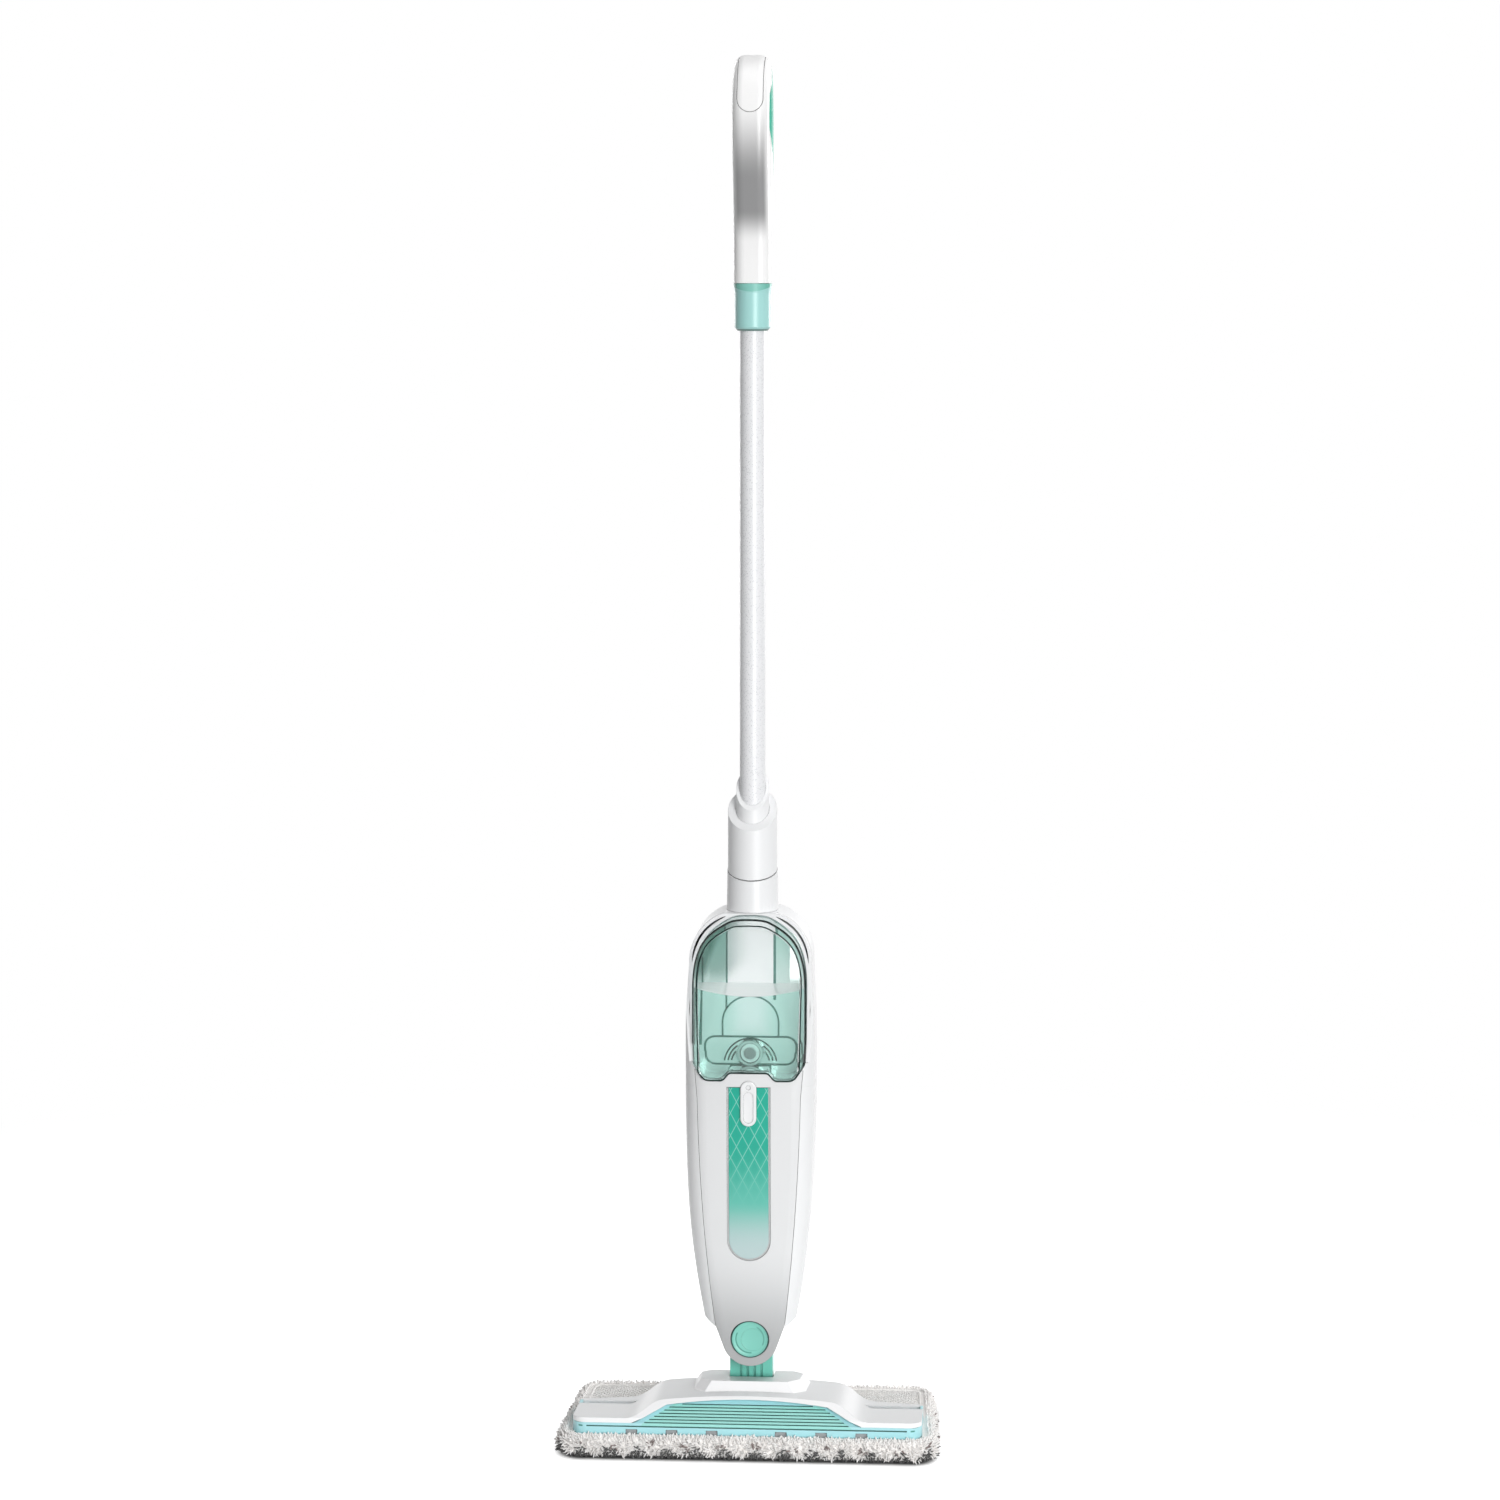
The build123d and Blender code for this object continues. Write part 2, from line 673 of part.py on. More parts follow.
def make_back(outer, whole, shell, mask_zone):
    body = shell - mask_zone
    trim = polygon((-16, 480), (-16, 468), (-37, 336), (-39, 300), (-90, 300), (-90, 480))
    trim_zone = across_x(trim, 80) & block(-80, 80, -90, 80, TANK_LOW + 8, 480)
    body -= trim_zone
    plate = bar_y(22.0, SLOT_HALF, 60, 0, ROLL_Z) + block(-22, 22, SLOT_HALF, 60, ROLL_Z, STEP_Z + 4)
    body += plate & outer
    body -= bar_y(ROLL_PIN_R + SEAT_GAP, 0, PLATE_SEAT, 0, ROLL_Z)
    body -= bar_z(STEAM_R, ROLL_Z, BODY_FLOOR_Z + 1, 0, STEAM_Y)
    tower = block(-TOWER_HALF, TOWER_HALF, BACKING_FRONT, BAY_BACK + 1, TOWER_LOW, BODY_TOP - 1)
    niche = Pos(0, (ARCH_LOW + ARCH_SPRING) / 2) * Rectangle(2 * ARCH_HALF, ARCH_SPRING - ARCH_LOW)
    niche += Pos(0, ARCH_SPRING) * Circle(ARCH_HALF)
    body += (tower + across_y(niche, BACKING_FRONT, BAY_BACK + 1)) & outer
    body -= bar_y(CAP_R + 2.0, -40, BAY_BACK, 0, CAP_Z)
    body -= bar_y(SPIGOT_R + 1.0 + SEAT_GAP, -40, 0, 0, CAP_Z)
    shelf = block(-20, 20, BAY_BACK + 1, 60, PUMP_SHELF - 3, PUMP_SHELF) & body_loft(1.0)
    body += shelf
    body -= bar_z(4.2, PUMP_SHELF - 5, PUMP_SHELF + 1, 0, TUBE_Y)
    body -= bar_z(4.2, PUMP_SHELF - 5, PUMP_SHELF + 1, 11, TUBE_Y + 6)
    body -= bar_z(TUBE_R + 2.5, BODY_TOP - 10, BODY_TOP + 1, 0, TUBE_Y)
    for z in (180.0, 205.0):
        body += bar_y(5.0, BRACKET_BACK, 60, 0, z) & body_loft(1.0)
    body += block(-14, 14, BLOCK_BACK, 60, 252, 266) & body_loft(1.0)
    body += bar_y(12.5, 30, GLAND_FLAT, 0, GLAND_Z)
    body -= bar_y(7.0, 20, 60, 0, GLAND_Z)
    body += block(-11, 11, 30, HOOK_SEAT, LOWER_HOOK_Z - 8, LOWER_HOOK_Z + 8)
    body -= bar_y(2.0, 20, 60, 0, LOWER_HOOK_Z)
    for x, z in SCREW_SPOTS:
        post = bar_y(4.5, SCREW_MEET + 0.2, 60, x, z) & whole
        body += post
        body -= bar_y(1.8, SCREW_MEET - 1, 60, x, z)
        body -= bar_y(3.4, SCREW_SEAT, 60, x, z)
    return body


def split_back(back):
    """The back is moulded as a lower shell, an upper housing and a surround for the tank."""
    reach = 100.0
    above = block(-reach, reach, -reach, reach, HOUSING_Z, 600)
    upper = back & above
    bay = across_y(tank_outline(-TANK_GAP), -reach, BAY_BACK)
    surround = upper & block(-reach, reach, -reach, BAY_BACK, HOUSING_Z, 600)
    surround -= bay
    return back - above, upper - surround, surround


# Neck, bush and tube around the sliding handle
def tilted_below(front_z, tilt, radius):
    plane_y = TUBE_Y - radius
    rise = tan(radians(tilt))
    reach = 120.0
    face = polygon(
        (plane_y - reach, 0), (plane_y - reach, front_z - reach * rise),
        (plane_y + reach, front_z + reach * rise), (plane_y + reach, 0),
    )
    return across_x(face, 60)


def make_neck_socket():
    top = SEAM_Z + 30
    profile = polygon((0, BODY_TOP), (NECK_R, BODY_TOP), (SLEEVE_R + 0.2, top), (0, top))
    body = Pos(0, TUBE_Y, 0) * revolve(Plane.XZ * profile, Axis.Z)
    body &= tilted_below(SEAM_Z, SEAM_TILT, NECK_R)
    body -= bar_z(BUSH_R + SEAT_GAP, BODY_TOP - 1, SEAM_Z + 60, 0, TUBE_Y)
    return body


def make_neck_sleeve():
    body = bar_z(SLEEVE_R, BODY_TOP, SLEEVE_FRONT_Z + 60, 0, TUBE_Y)
    body &= tilted_below(SLEEVE_FRONT_Z, SLEEVE_TILT, SLEEVE_R)
    body -= tilted_below(SEAM_Z + 0.8, SEAM_TILT, NECK_R)
    body -= bar_z(BUSH_R + SEAT_GAP, BODY_TOP - 1, SLEEVE_FRONT_Z + 80, 0, TUBE_Y)
    return body


def make_neck_bush():
    body = bar_z(BUSH_R, BODY_TOP + 2, BUSH_FRONT_Z + 60, 0, TUBE_Y)
    body &= tilted_below(BUSH_FRONT_Z, BUSH_TILT, BUSH_R)
    body -= bar_z(TUBE_R + RUN_GAP, BODY_TOP, BUSH_FRONT_Z + 80, 0, TUBE_Y)
    return body


def make_tube():
    body = bar_z(TUBE_R, TUBE_LOW, HANDLE_LOW + 14, 0, TUBE_Y)
    return body - bar_z(TUBE_R - TUBE_WALL, TUBE_LOW - 1, HANDLE_LOW + 20, 0, TUBE_Y)


def make_pump_rod():
    plug = bar_z(TUBE_R - TUBE_WALL - SEAT_GAP, TUBE_LOW - 0.2, TUBE_LOW + 14, 0, TUBE_Y)
    plug += bar_z(TUBE_R - 0.3, TUBE_LOW - 3, TUBE_LOW - 0.2, 0, TUBE_Y)
    return plug + bar_z(4.0, BELLOWS_TOP + 0.3, TUBE_LOW, 0, TUBE_Y)


def make_bellows():
    step = (BELLOWS_TOP - BELLOWS_LOW) / BELLOWS_FOLDS
    points = [(0, BELLOWS_LOW)]
    for i in range(BELLOWS_FOLDS):
        z = BELLOWS_LOW + i * step
        points.append((BELLOWS_R - 3, z))
        points.append((BELLOWS_R, z + step / 2))
    points.append((BELLOWS_R - 3, BELLOWS_TOP))
    points.append((0, BELLOWS_TOP))
    body = revolve(Plane.XZ * polygon(*points), Axis.Z)
    body -= bar_z(BELLOWS_R - 4.5, BELLOWS_LOW - 1, BELLOWS_TOP - 2, 0, 0)
    return Pos(0, TUBE_Y, 0) * body


def make_pump_base():
    body = bar_z(BELLOWS_R + 0.5, PUMP_SHELF, BELLOWS_LOW - 0.1, 0, TUBE_Y)
    body += block(0, 15, TUBE_Y, TUBE_Y + 10, PUMP_SHELF, BELLOWS_LOW - 2)
    body -= bar_z(2.4, PUMP_SHELF - 1, BELLOWS_LOW + 1, 0, TUBE_Y)
    body -= bar_z(2.4, PUMP_SHELF - 1, BELLOWS_LOW - 4, 11, TUBE_Y + 6)
    return body


def make_check_valve(x, y):
    body = bar_z(4.0, PUMP_SHELF - 4, PUMP_SHELF - 0.1, x, y)
    body += bar_z(6.0, PUMP_SHELF - 14, PUMP_SHELF - 4, x, y)
    body += bar_z(3.2, PUMP_SHELF - 20, PUMP_SHELF - 14, x, y)
    body -= bar_z(1.6, PUMP_SHELF - 21, PUMP_SHELF + 1, x, y)
    return body


# Water and steam path inside the body
def make_boiler():
    body = bar_z(BOILER_R, BOILER_LOW, BOILER_HIGH, 0, BOILER_Y)
    body += bar_z(BOILER_R + 3, BOILER_HIGH - 6, BOILER_HIGH, 0, BOILER_Y)
    body = fillet(body.edges().group_by(Axis.Z)[0], 6)
    body += bar_z(3.2, BOILER_LOW - 8, BOILER_LOW + 4, 0, BOILER_Y)
    body += bar_z(3.2, BOILER_HIGH - 4, BOILER_HIGH + 10, 11, BOILER_Y + 10)
    body -= bar_z(1.6, BOILER_LOW - 9, BOILER_LOW + 10, 0, BOILER_Y)
    body -= bar_z(1.6, BOILER_HIGH - 10, BOILER_HIGH + 11, 11, BOILER_Y + 10)
    for x in (-9, 9):
        body -= bar_z(4.0 + SEAT_GAP, BOILER_LOW + 20, BOILER_HIGH + 1, x, BOILER_Y - 8)
    return body


def make_heater():
    y = BOILER_Y - 8
    foot = BOILER_LOW + 21
    top = BOILER_HIGH + 22
    return rod(((-9, y, foot), (-9, y, top), (9, y, top), (9, y, foot)), 8.0, 4.0)


def make_boiler_bracket():
    mid = BRACKET_Z
    body = bar_z(BOILER_R + 2.4, mid - 7, mid + 7, 0, BOILER_Y)
    body += block(-9, 9, BOILER_Y + BOILER_R, BRACKET_BACK - 0.1, mid - 17, mid + 17)
    body -= bar_z(BOILER_R + SEAT_GAP, mid - 30, mid + 30, 0, BOILER_Y)
    return body


def make_thermostat():
    x = BOILER_R + SEAT_GAP
    body = bar_x(8.0, x - 1.0, x + 6, BOILER_Y, 217)
    body -= bar_z(BOILER_R + SEAT_GAP, 190, 240, 0, BOILER_Y)
    body += block(x + 6, x + 11, BOILER_Y - 3, BOILER_Y + 3, 213, 215)
    return body + block(x + 6, x + 11, BOILER_Y - 3, BOILER_Y + 3, 219, 221)


def make_thermal_fuse():
    return bar_z(2.6, 206, 222, -BOILER_R - 2.6 - SEAT_GAP, BOILER_Y)


def make_tank_spigot():
    body = bar_y(SPIGOT_R, TANK_BACK - 2.4, BAY_BACK, 0, CAP_Z)
    body += bar_y(SPIGOT_R + 1.0, BAY_BACK - 1.0, BAY_BACK + WALL + 1, 0, CAP_Z)
    body += bar_y(3.2, BAY_BACK + WALL, BAY_BACK + WALL + 6, 0, CAP_Z)
    return body - bar_y(1.8, TANK_BACK - 5, BAY_BACK + WALL + 8, 0, CAP_Z)


def make_spigot_seal():
    y = BAY_BACK - 2.4
    return bar_y(SPIGOT_R + 1.2, y - 1.1, y + 1.1, 0, CAP_Z) - bar_y(SPIGOT_R + 0.05, y - 3, y + 3, 0, CAP_Z)


def make_inlet_hose():
    start = BAY_BACK + WALL + 1.2
    points = ((0, start, CAP_Z), (0, TUBE_Y, CAP_Z), (0, TUBE_Y, PUMP_SHELF - 14.2))
    return hose(points, 7.5, 4.6, 3.25)


def make_feed_hose():
    x = 11.0
    upper = TUBE_Y + 6
    lower = BOILER_Y + 10
    points = ((x, upper, PUMP_SHELF - 14.2), (x, upper, 290), (x, lower, 276), (x, lower, BOILER_HIGH + 0.3))
    return hose(points, 10.0, 4.6, 3.25)


def make_steam_hose():
    points = (
        (0, BOILER_Y, BOILER_LOW - 0.3), (0, BOILER_Y, 131), (0, STEAM_Y, 131), (0, STEAM_Y, BODY_FLOOR_Z + 0.1),
    )
    return hose(points, 6.5, 4.6, 3.25)


def make_terminal_block():
    body = block(-13, 13, BLOCK_BACK - 12, BLOCK_BACK - 0.1, 254, 264)
    for x in (-8, 0, 8):
        body -= bar_z(2.0, 262, 265, x, BLOCK_BACK - 6)
    return body


def make_cord_gland():
    body = bar_y(10.0, GLAND_FLAT, GLAND_FLAT + 3.5, 0, GLAND_Z)
    body = fillet(body.edges().group_by(Axis.Y)[-1], 1.5)
    body += bar_y(6.9, 30, 42, 0, GLAND_Z)
    return body - bar_y(4.0, 20, 60, 0, GLAND_Z)


# Front trim, latch and button
def make_strip():
    face = channel_face(STRIP_HALF, CHANNEL_LOW + CHANNEL_HALF - STRIP_HALF)
    body = across_y(face, -80, 0) & body_loft(CHANNEL_DEPTH - STRIP_THICK)
    body -= body_loft(CHANNEL_DEPTH - SEAT_GAP)
    body &= block(-80, 80, -80, 0, 100, TANK_LOW - 12.5)
    stem = slotted_face(LATCH_STEM_HALF + 1.0, LATCH_STEM_LOW - LATCH_TRAVEL - 1.0, LATCH_STEM_HIGH + 1.0)
    return body - across_y(stem, -80, 0)


def make_latch():
    front = BODY_LEVELS[5][2]
    face = slotted_face(LATCH_HALF, LATCH_LOW, LATCH_HIGH)
    body = across_y(face, front - LATCH_RISE, front - 0.2)
    body = fillet(body.faces().sort_by(Axis.Y)[0].edges(), 1.2)
    dish = slotted_face(LATCH_HALF - 2.6, LATCH_LOW + 2.6, LATCH_HIGH - 9)
    body -= across_y(dish, front - LATCH_RISE - 1, front - LATCH_RISE + 0.9)
    body -= bar_y(2.2, front - LATCH_RISE - 1, front - LATCH_RISE + 0.9, 0, LATCH_HIGH - 5.2)
    stem = slotted_face(LATCH_STEM_HALF, LATCH_STEM_LOW, LATCH_STEM_HIGH)
    body += across_y(stem, front - 1, LATCH_BACK + 1)
    body += block(-9, 9, LATCH_BACK, LATCH_BACK + 4.6, SPRING_HIGH, 314)
    body += block(-CATCH_HALF, CATCH_HALF, CATCH_FRONT, CATCH_REAR, 313, TANK_LOW - 0.5)
    return body


def make_latch_spring():
    length = SPRING_HIGH - SPRING_LOW - 1.6
    return Pos(0, LATCH_BACK + 3.2, SPRING_LOW + 0.8) * coil(2.2, 0.4, 5, length)


def make_button():
    front = BUTTON_FRONT
    body = bar_y(BUTTON_R, front, front + 5.0, 0, ROLL_Z)
    body = fillet(body.edges().group_by(Axis.Y)[0], 1.0)
    depth = 2.2
    dish = Pos(0, front + depth - BUTTON_DISH, ROLL_Z) * Sphere(BUTTON_DISH)
    body -= dish & bar_y(BUTTON_R - 1.8, front - 5, front + 5, 0, ROLL_Z)
    ridge = bar_y(BUTTON_R - 4.2, front + 0.9, front + 4, 0, ROLL_Z)
    ridge -= bar_y(BUTTON_R - 6.4, front, front + 5, 2.2, ROLL_Z - 0.6)
    body += ridge & bar_y(BUTTON_R - 1.0, front + 0.9, front + 4.5, 0, ROLL_Z)
    body -= bar_y(BUTTON_R - 2.2, front + 3.4, front + 6, 0, ROLL_Z) - bar_y(4.0, front, front + 7, 0, ROLL_Z)
    body += bar_y(1.9, front + 3, -NECK_THICK / 2 - 3.2, 0, ROLL_Z)
    return body


def make_button_spring():
    start = BUTTON_FRONT + 5.4
    length = BASE_WELL - start - 1.2
    spring = coil(6.5, 0.6, 4, length)
    return Pos(0, start + 0.4, ROLL_Z) * Rot(-90, 0, 0) * spring


# Tank pieces
def arch_section(inset, half, low, top):
    w = half - inset
    t = top - inset
    right = [
        Polyline((0, low), (w, low), (w, TANK_LOW + TANK_SPRING)),
        tank_arch(w, TANK_LOW + TANK_SPRING, t),
    ]
    return mirrored_face(right)


def tank_block(inset):
    face = tank_outline(inset)
    back = TANK_BACK - inset
    mid = TANK_FRONT + TANK_BEVEL_DEPTH
    front = TANK_FRONT + inset
    low = TANK_LOW - 60
    body = across_y(face, mid, back)
    wide = Plane.XZ.offset(-mid) * arch_section(inset, TANK_HALF, low, TANK_TOP)
    slim = Plane.XZ.offset(-front) * arch_section(inset + TANK_BEVEL, TANK_HALF, low, TANK_TOP)
    nose = loft([wide, slim], ruled=True) & across_y(face, front - 1, mid + 1)
    body += nose
    lens = Pos(0, front + TANK_DOME, TANK_LOW + 60) * Rot(-2.0, 0, 0) * Cylinder(TANK_DOME, 400)
    return body & lens


def make_tank_shell():
    body = tank_block(0) - tank_block(TANK_WALL)
    return body - block(-80, 80, TANK_BACK - TANK_WALL - RUN_GAP, 0, 0, 600)


def make_tank_back():
    body = across_y(tank_outline(0), TANK_BACK - TANK_WALL, TANK_BACK)
    body += bar_y(CAP_R, TANK_BACK - 9, TANK_BACK - TANK_WALL / 2, 0, CAP_Z)
    body -= bar_y(CAP_BORE_R, TANK_BACK - 12, TANK_BACK + 1, 0, CAP_Z)
    return body


def make_cap():
    face = TANK_BACK + 0.3
    body = bar_y(CAP_R, face, face + 3.0, 0, CAP_Z)
    for i in range(12):
        angle = radians(30 * i)
        body -= bar_y(1.4, face - 1, face + 4, CAP_R * sin(angle), CAP_Z + CAP_R * cos(angle))
    body += bar_y(CAP_BORE_R - 0.35, TANK_BACK - 8, face + 1, 0, CAP_Z)
    body -= bar_y(SPIGOT_R + 1.6, TANK_BACK - 6, face + 4, 0, CAP_Z)
    body -= bar_y(3.0, TANK_BACK - 9, face + 4, 0, CAP_Z)
    return body


def make_cap_valve():
    y = TANK_BACK - 8
    body = bar_y(5.0, y - 1.6, y - 0.1, 0, CAP_Z)
    return body + bar_y(2.8, y - 0.2, y + 1.6, 0, CAP_Z)


# Handle pieces
def handle_points(inset):
    y = TUBE_Y
    low = HANDLE_LOW
    span = HANDLE_TOP - HANDLE_LOW
    points = (
        (y - 17, low), (y - 19, low + 0.20 * span), (y - 31, low + 0.45 * span),
        (y - 38, low + 0.68 * span), (y - 27, low + 0.91 * span), (y + 5, HANDLE_TOP),
        (y + 36, low + 0.91 * span), (y + 48, low + 0.70 * span),
        (y + 42, low + 0.47 * span), (y + 24, low + 0.22 * span), (y + 17, low),
    )
    moved = []
    for i, (py, pz) in enumerate(points):
        before = points[max(i - 1, 0)]
        after = points[min(i + 1, len(points) - 1)]
        run = after[0] - before[0]
        rise = after[1] - before[1]
        length = sqrt(run ** 2 + rise ** 2)
        step_z = 0 if i in (0, len(points) - 1) else -inset * run / length
        moved.append((py + inset * rise / length, pz + step_z))
    return moved


def handle_face(inset):
    points = handle_points(inset)
    return make_face([Line(points[-1], points[0]), Spline(points, tangents=[(0, 1), (0, -1)])])


def handle_hole():
    y = TUBE_Y
    low = HANDLE_LOW
    span = HANDLE_TOP - HANDLE_LOW
    points = [
        (y + 4, low + 0.33 * span), (y - 6, low + 0.47 * span), (y - 11, low + 0.68 * span),
        (y - 5, low + 0.82 * span), (y + 5, low + 0.865 * span), (y + 17, low + 0.82 * span),
        (y + 23, low + 0.68 * span), (y + 16, low + 0.47 * span),
    ]
    return make_face(Spline(points, periodic=True))


def handle_solid():
    body = across_x(handle_face(0) - handle_hole(), HANDLE_HALF)
    sides = [body.faces().sort_by(Axis.X)[0], body.faces().sort_by(Axis.X)[-1]]
    edges = [e for face in sides for e in face.edges() if e.bounding_box().max.Z > HANDLE_LOW + 5]
    return fillet(edges, HANDLE_ROUND)


def grip_zone():
    span = HANDLE_TOP - HANDLE_LOW
    points = [(TUBE_Y + reach, HANDLE_LOW + lift * span) for reach, lift in GRIP_EDGE]
    far = TUBE_Y + 90
    around = Polyline(points[-1], (far, points[-1][1]), (far, points[0][1]), points[0])
    return across_x(make_face([Spline(points), around]), HANDLE_HALF + 5)


def inlay_zone(half):
    around = Pos(TUBE_Y - 20, HANDLE_TOP - 20) * Rectangle(80, 120)
    strip = across_x(around - handle_face(INLAY_THICK), half)
    tongue = slotted_face(half, INLAY_LOW + INLAY_HALF - half, HANDLE_TOP + 60)
    return strip & across_y(tongue, -80, TUBE_Y + 4)


def make_handle(solid):
    body = solid - grip_zone() - inlay_zone(INLAY_HALF + INLAY_GAP)
    body -= bar_z(TUBE_R + SEAT_GAP, HANDLE_LOW - 1, HANDLE_LOW + 15, 0, TUBE_Y)
    body -= bar_x(1.7, -HANDLE_HALF - 1, -TUBE_R + 1, TUBE_Y, HANDLE_LOW + 7)
    body -= bar_x(3.4, -HANDLE_HALF - 1, -HANDLE_HALF + 2.5, TUBE_Y, HANDLE_LOW + 7)
    body += bar_y(9.0, TUBE_Y + 12, HOOK_FACE, 0, HOOK_Z)
    body -= bar_y(2.1, TUBE_Y + 12, HOOK_FACE + 1, 0, HOOK_Z)
    return body


def make_collar():
    profile = polygon(
        (TUBE_R + SEAT_GAP, COLLAR_LOW), (COLLAR_R - 2.5, COLLAR_LOW), (COLLAR_R, COLLAR_LOW + 3),
        (COLLAR_R, HANDLE_LOW - COLLAR_FLARE), (COLLAR_FLARE_R, HANDLE_LOW - 0.1),
        (TUBE_R + SEAT_GAP, HANDLE_LOW - 0.1),
    )
    return Pos(0, TUBE_Y, 0) * revolve(Plane.XZ * profile, Axis.Z)


def hook_arm(y, z, way, half):
    points = (
        (y, z - 5 * way), (y + 25, z - 5 * way), (y + 25, z + 21 * way), (y + 29, z + 31 * way),
        (y + 23, z + 32 * way), (y + 19, z + 22 * way), (y + 19, z + 5 * way), (y, z + 5 * way),
    )
    radii = (0.0, 8.0, 6.0, 2.0, 2.0, 6.0, 5.0, 0.0)
    return across_x(make_face(FilletPolyline(*points, radius=radii, close=True)), half)


def make_upper_hook():
    y = HOOK_FACE + 0.35
    body = hook_arm(y, HOOK_Z, 1, HOOK_HALF) + bar_y(9.0, y, y + 4, 0, HOOK_Z)
    return body - bar_y(2.1, y - 1, y + 40, 0, HOOK_Z)


def make_hook_pin():
    y = HOOK_FACE
    return bar_y(2.05, TUBE_Y + 13, y + 25, 0, HOOK_Z)


def make_lower_hook():
    y = HOOK_SEAT + SEAT_GAP
    body = hook_arm(y, LOWER_HOOK_Z, -1, HOOK_HALF + 2)
    return body - bar_y(2.0, y - 1, y + 12, 0, LOWER_HOOK_Z)


def make_handle_screw():
    z = HANDLE_LOW + 7
    head = bar_x(3.2, -HANDLE_HALF + 0.6, -HANDLE_HALF + 2.4, TUBE_Y, z)
    return head + bar_x(1.6, -HANDLE_HALF + 1, -TUBE_R - 0.2, TUBE_Y, z)


def make_body_screws():
    solids = []
    for x, z in SCREW_SPOTS:
        shank = bar_y(1.4, SCREW_MEET - 10, SCREW_SEAT + 1, x, z)
        head = bar_y(3.2, SCREW_SEAT + 0.1, SCREW_SEAT + 3, x, z)
        solids.append(shank + head)
    return group(*solids)


def build_all():
    outer, whole, shell, mask_zone, mask_face = body_solids()
    rear_shell, pump_housing, tank_surround = split_back(make_back(outer, whole, shell, mask_zone))
    solid = handle_solid()
    return {
        "pad": make_pad(),
        "head_base": make_base(),
        "head_cover": make_cover(),
        "hook_strips": make_hook_strips(),
        "head_screws": make_head_screws(),
        "skirt_vents": make_vents(),
        "hinge_posts": make_hinge_posts(),
        "pitch_pin": make_pitch_pin(),
        "steam_manifold": make_manifold(),
        "head_steam_hose": make_head_hose(),
        "swivel_neck": make_swivel_neck(),
        "roll_pin": make_roll_pin(),
        "front_shell": make_front_shell(whole, shell, mask_face),
        "rear_shell": rear_shell,
        "pump_housing": pump_housing,
        "tank_surround": tank_surround,
        "body_screws": make_body_screws(),
        "front_strip": make_strip(),
        "tank_latch": make_latch(),
        "latch_spring": make_latch_spring(),
        "release_button": make_button(),
        "button_spring": make_button_spring(),
        "neck_socket": make_neck_socket(),
        "neck_sleeve": make_neck_sleeve(),
        "neck_bush": make_neck_bush(),
        "pump_base": make_pump_base(),
        "pump_bellows": make_bellows(),
        "inlet_valve": make_check_valve(0, TUBE_Y),
        "outlet_valve": make_check_valve(11, TUBE_Y + 6),
        "tank_spigot": make_tank_spigot(),
        "spigot_seal": make_spigot_seal(),
        "inlet_hose": make_inlet_hose(),
        "feed_hose": make_feed_hose(),
        "boiler": make_boiler(),
        "heater_element": make_heater(),
        "boiler_bracket": make_boiler_bracket(),
        "thermostat": make_thermostat(),
        "thermal_fuse": make_thermal_fuse(),
        "steam_hose": make_steam_hose(),
        "terminal_block": make_terminal_block(),
        "cord_gland": make_cord_gland(),
        "lower_cord_hook": make_lower_hook(),
        "tank_shell": make_tank_shell(),
        "tank_back": make_tank_back(),
        "tank_cap": make_cap(),
        "cap_valve": make_cap_valve(),
        "handle_tube": make_tube(),
        "pump_rod": make_pump_rod(),
        "handle_collar": make_collar(),
        "handle_main": make_handle(solid),
        "handle_grip": solid & grip_zone(),
        "handle_inlay": solid & inlay_zone(INLAY_HALF),
        "upper_cord_hook": make_upper_hook(),
        "hook_pin": make_hook_pin(),
        "handle_screw": make_handle_screw(),
    }


def main():
    os.makedirs("parts", exist_ok=True)
    for name, shape in build_all().items():
        export_step(shape, "parts/" + name + ".step")


if __name__ == "__main__":
    main()
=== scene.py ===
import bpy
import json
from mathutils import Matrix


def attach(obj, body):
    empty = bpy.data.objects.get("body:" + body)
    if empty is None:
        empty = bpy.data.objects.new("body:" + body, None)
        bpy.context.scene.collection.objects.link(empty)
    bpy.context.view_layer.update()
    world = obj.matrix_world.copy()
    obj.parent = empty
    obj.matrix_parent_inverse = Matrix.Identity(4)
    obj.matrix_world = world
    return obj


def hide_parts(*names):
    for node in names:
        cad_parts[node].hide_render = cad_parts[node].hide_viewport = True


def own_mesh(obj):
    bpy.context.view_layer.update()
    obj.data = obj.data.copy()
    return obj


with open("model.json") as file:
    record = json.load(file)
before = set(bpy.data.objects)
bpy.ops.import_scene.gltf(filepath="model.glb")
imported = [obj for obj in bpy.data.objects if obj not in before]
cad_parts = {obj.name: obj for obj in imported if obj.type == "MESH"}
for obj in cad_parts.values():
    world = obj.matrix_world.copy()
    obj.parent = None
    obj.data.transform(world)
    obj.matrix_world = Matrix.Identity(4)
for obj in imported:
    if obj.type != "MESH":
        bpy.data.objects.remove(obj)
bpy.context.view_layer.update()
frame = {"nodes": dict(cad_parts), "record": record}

import json
import math

import bmesh
import bpy
import numpy as np
from mathutils import Vector

MM = 0.001
chance = np.random.default_rng(41)

# The camera, as the photograph was taken
PICTURE = 1500
CAMERA_TURN = math.radians(3.8)
CAMERA_REACH = 3.25
CAMERA_HEIGHT = 0.985
CAMERA_DIP = math.radians(6.73)
FOCAL_PIXELS = 3814.4
AXIS_OFFSET_PIXELS = 2.0
SENSOR = 36.0

# Sizes of the pad, in millimetres as in the solids
PAD_CORNERS = ((-166, -88), (166, -88), (158, 88), (-158, 88))
PAD_ROUND = 24
PAD_TOP = 18.3
PAD_FLOOR = 8.8
POCKET_HALF = 149.5
SCRUB_PITCH = 25.0
FLECK_PITCH = 30.5
YARN_PITCH = 1.75

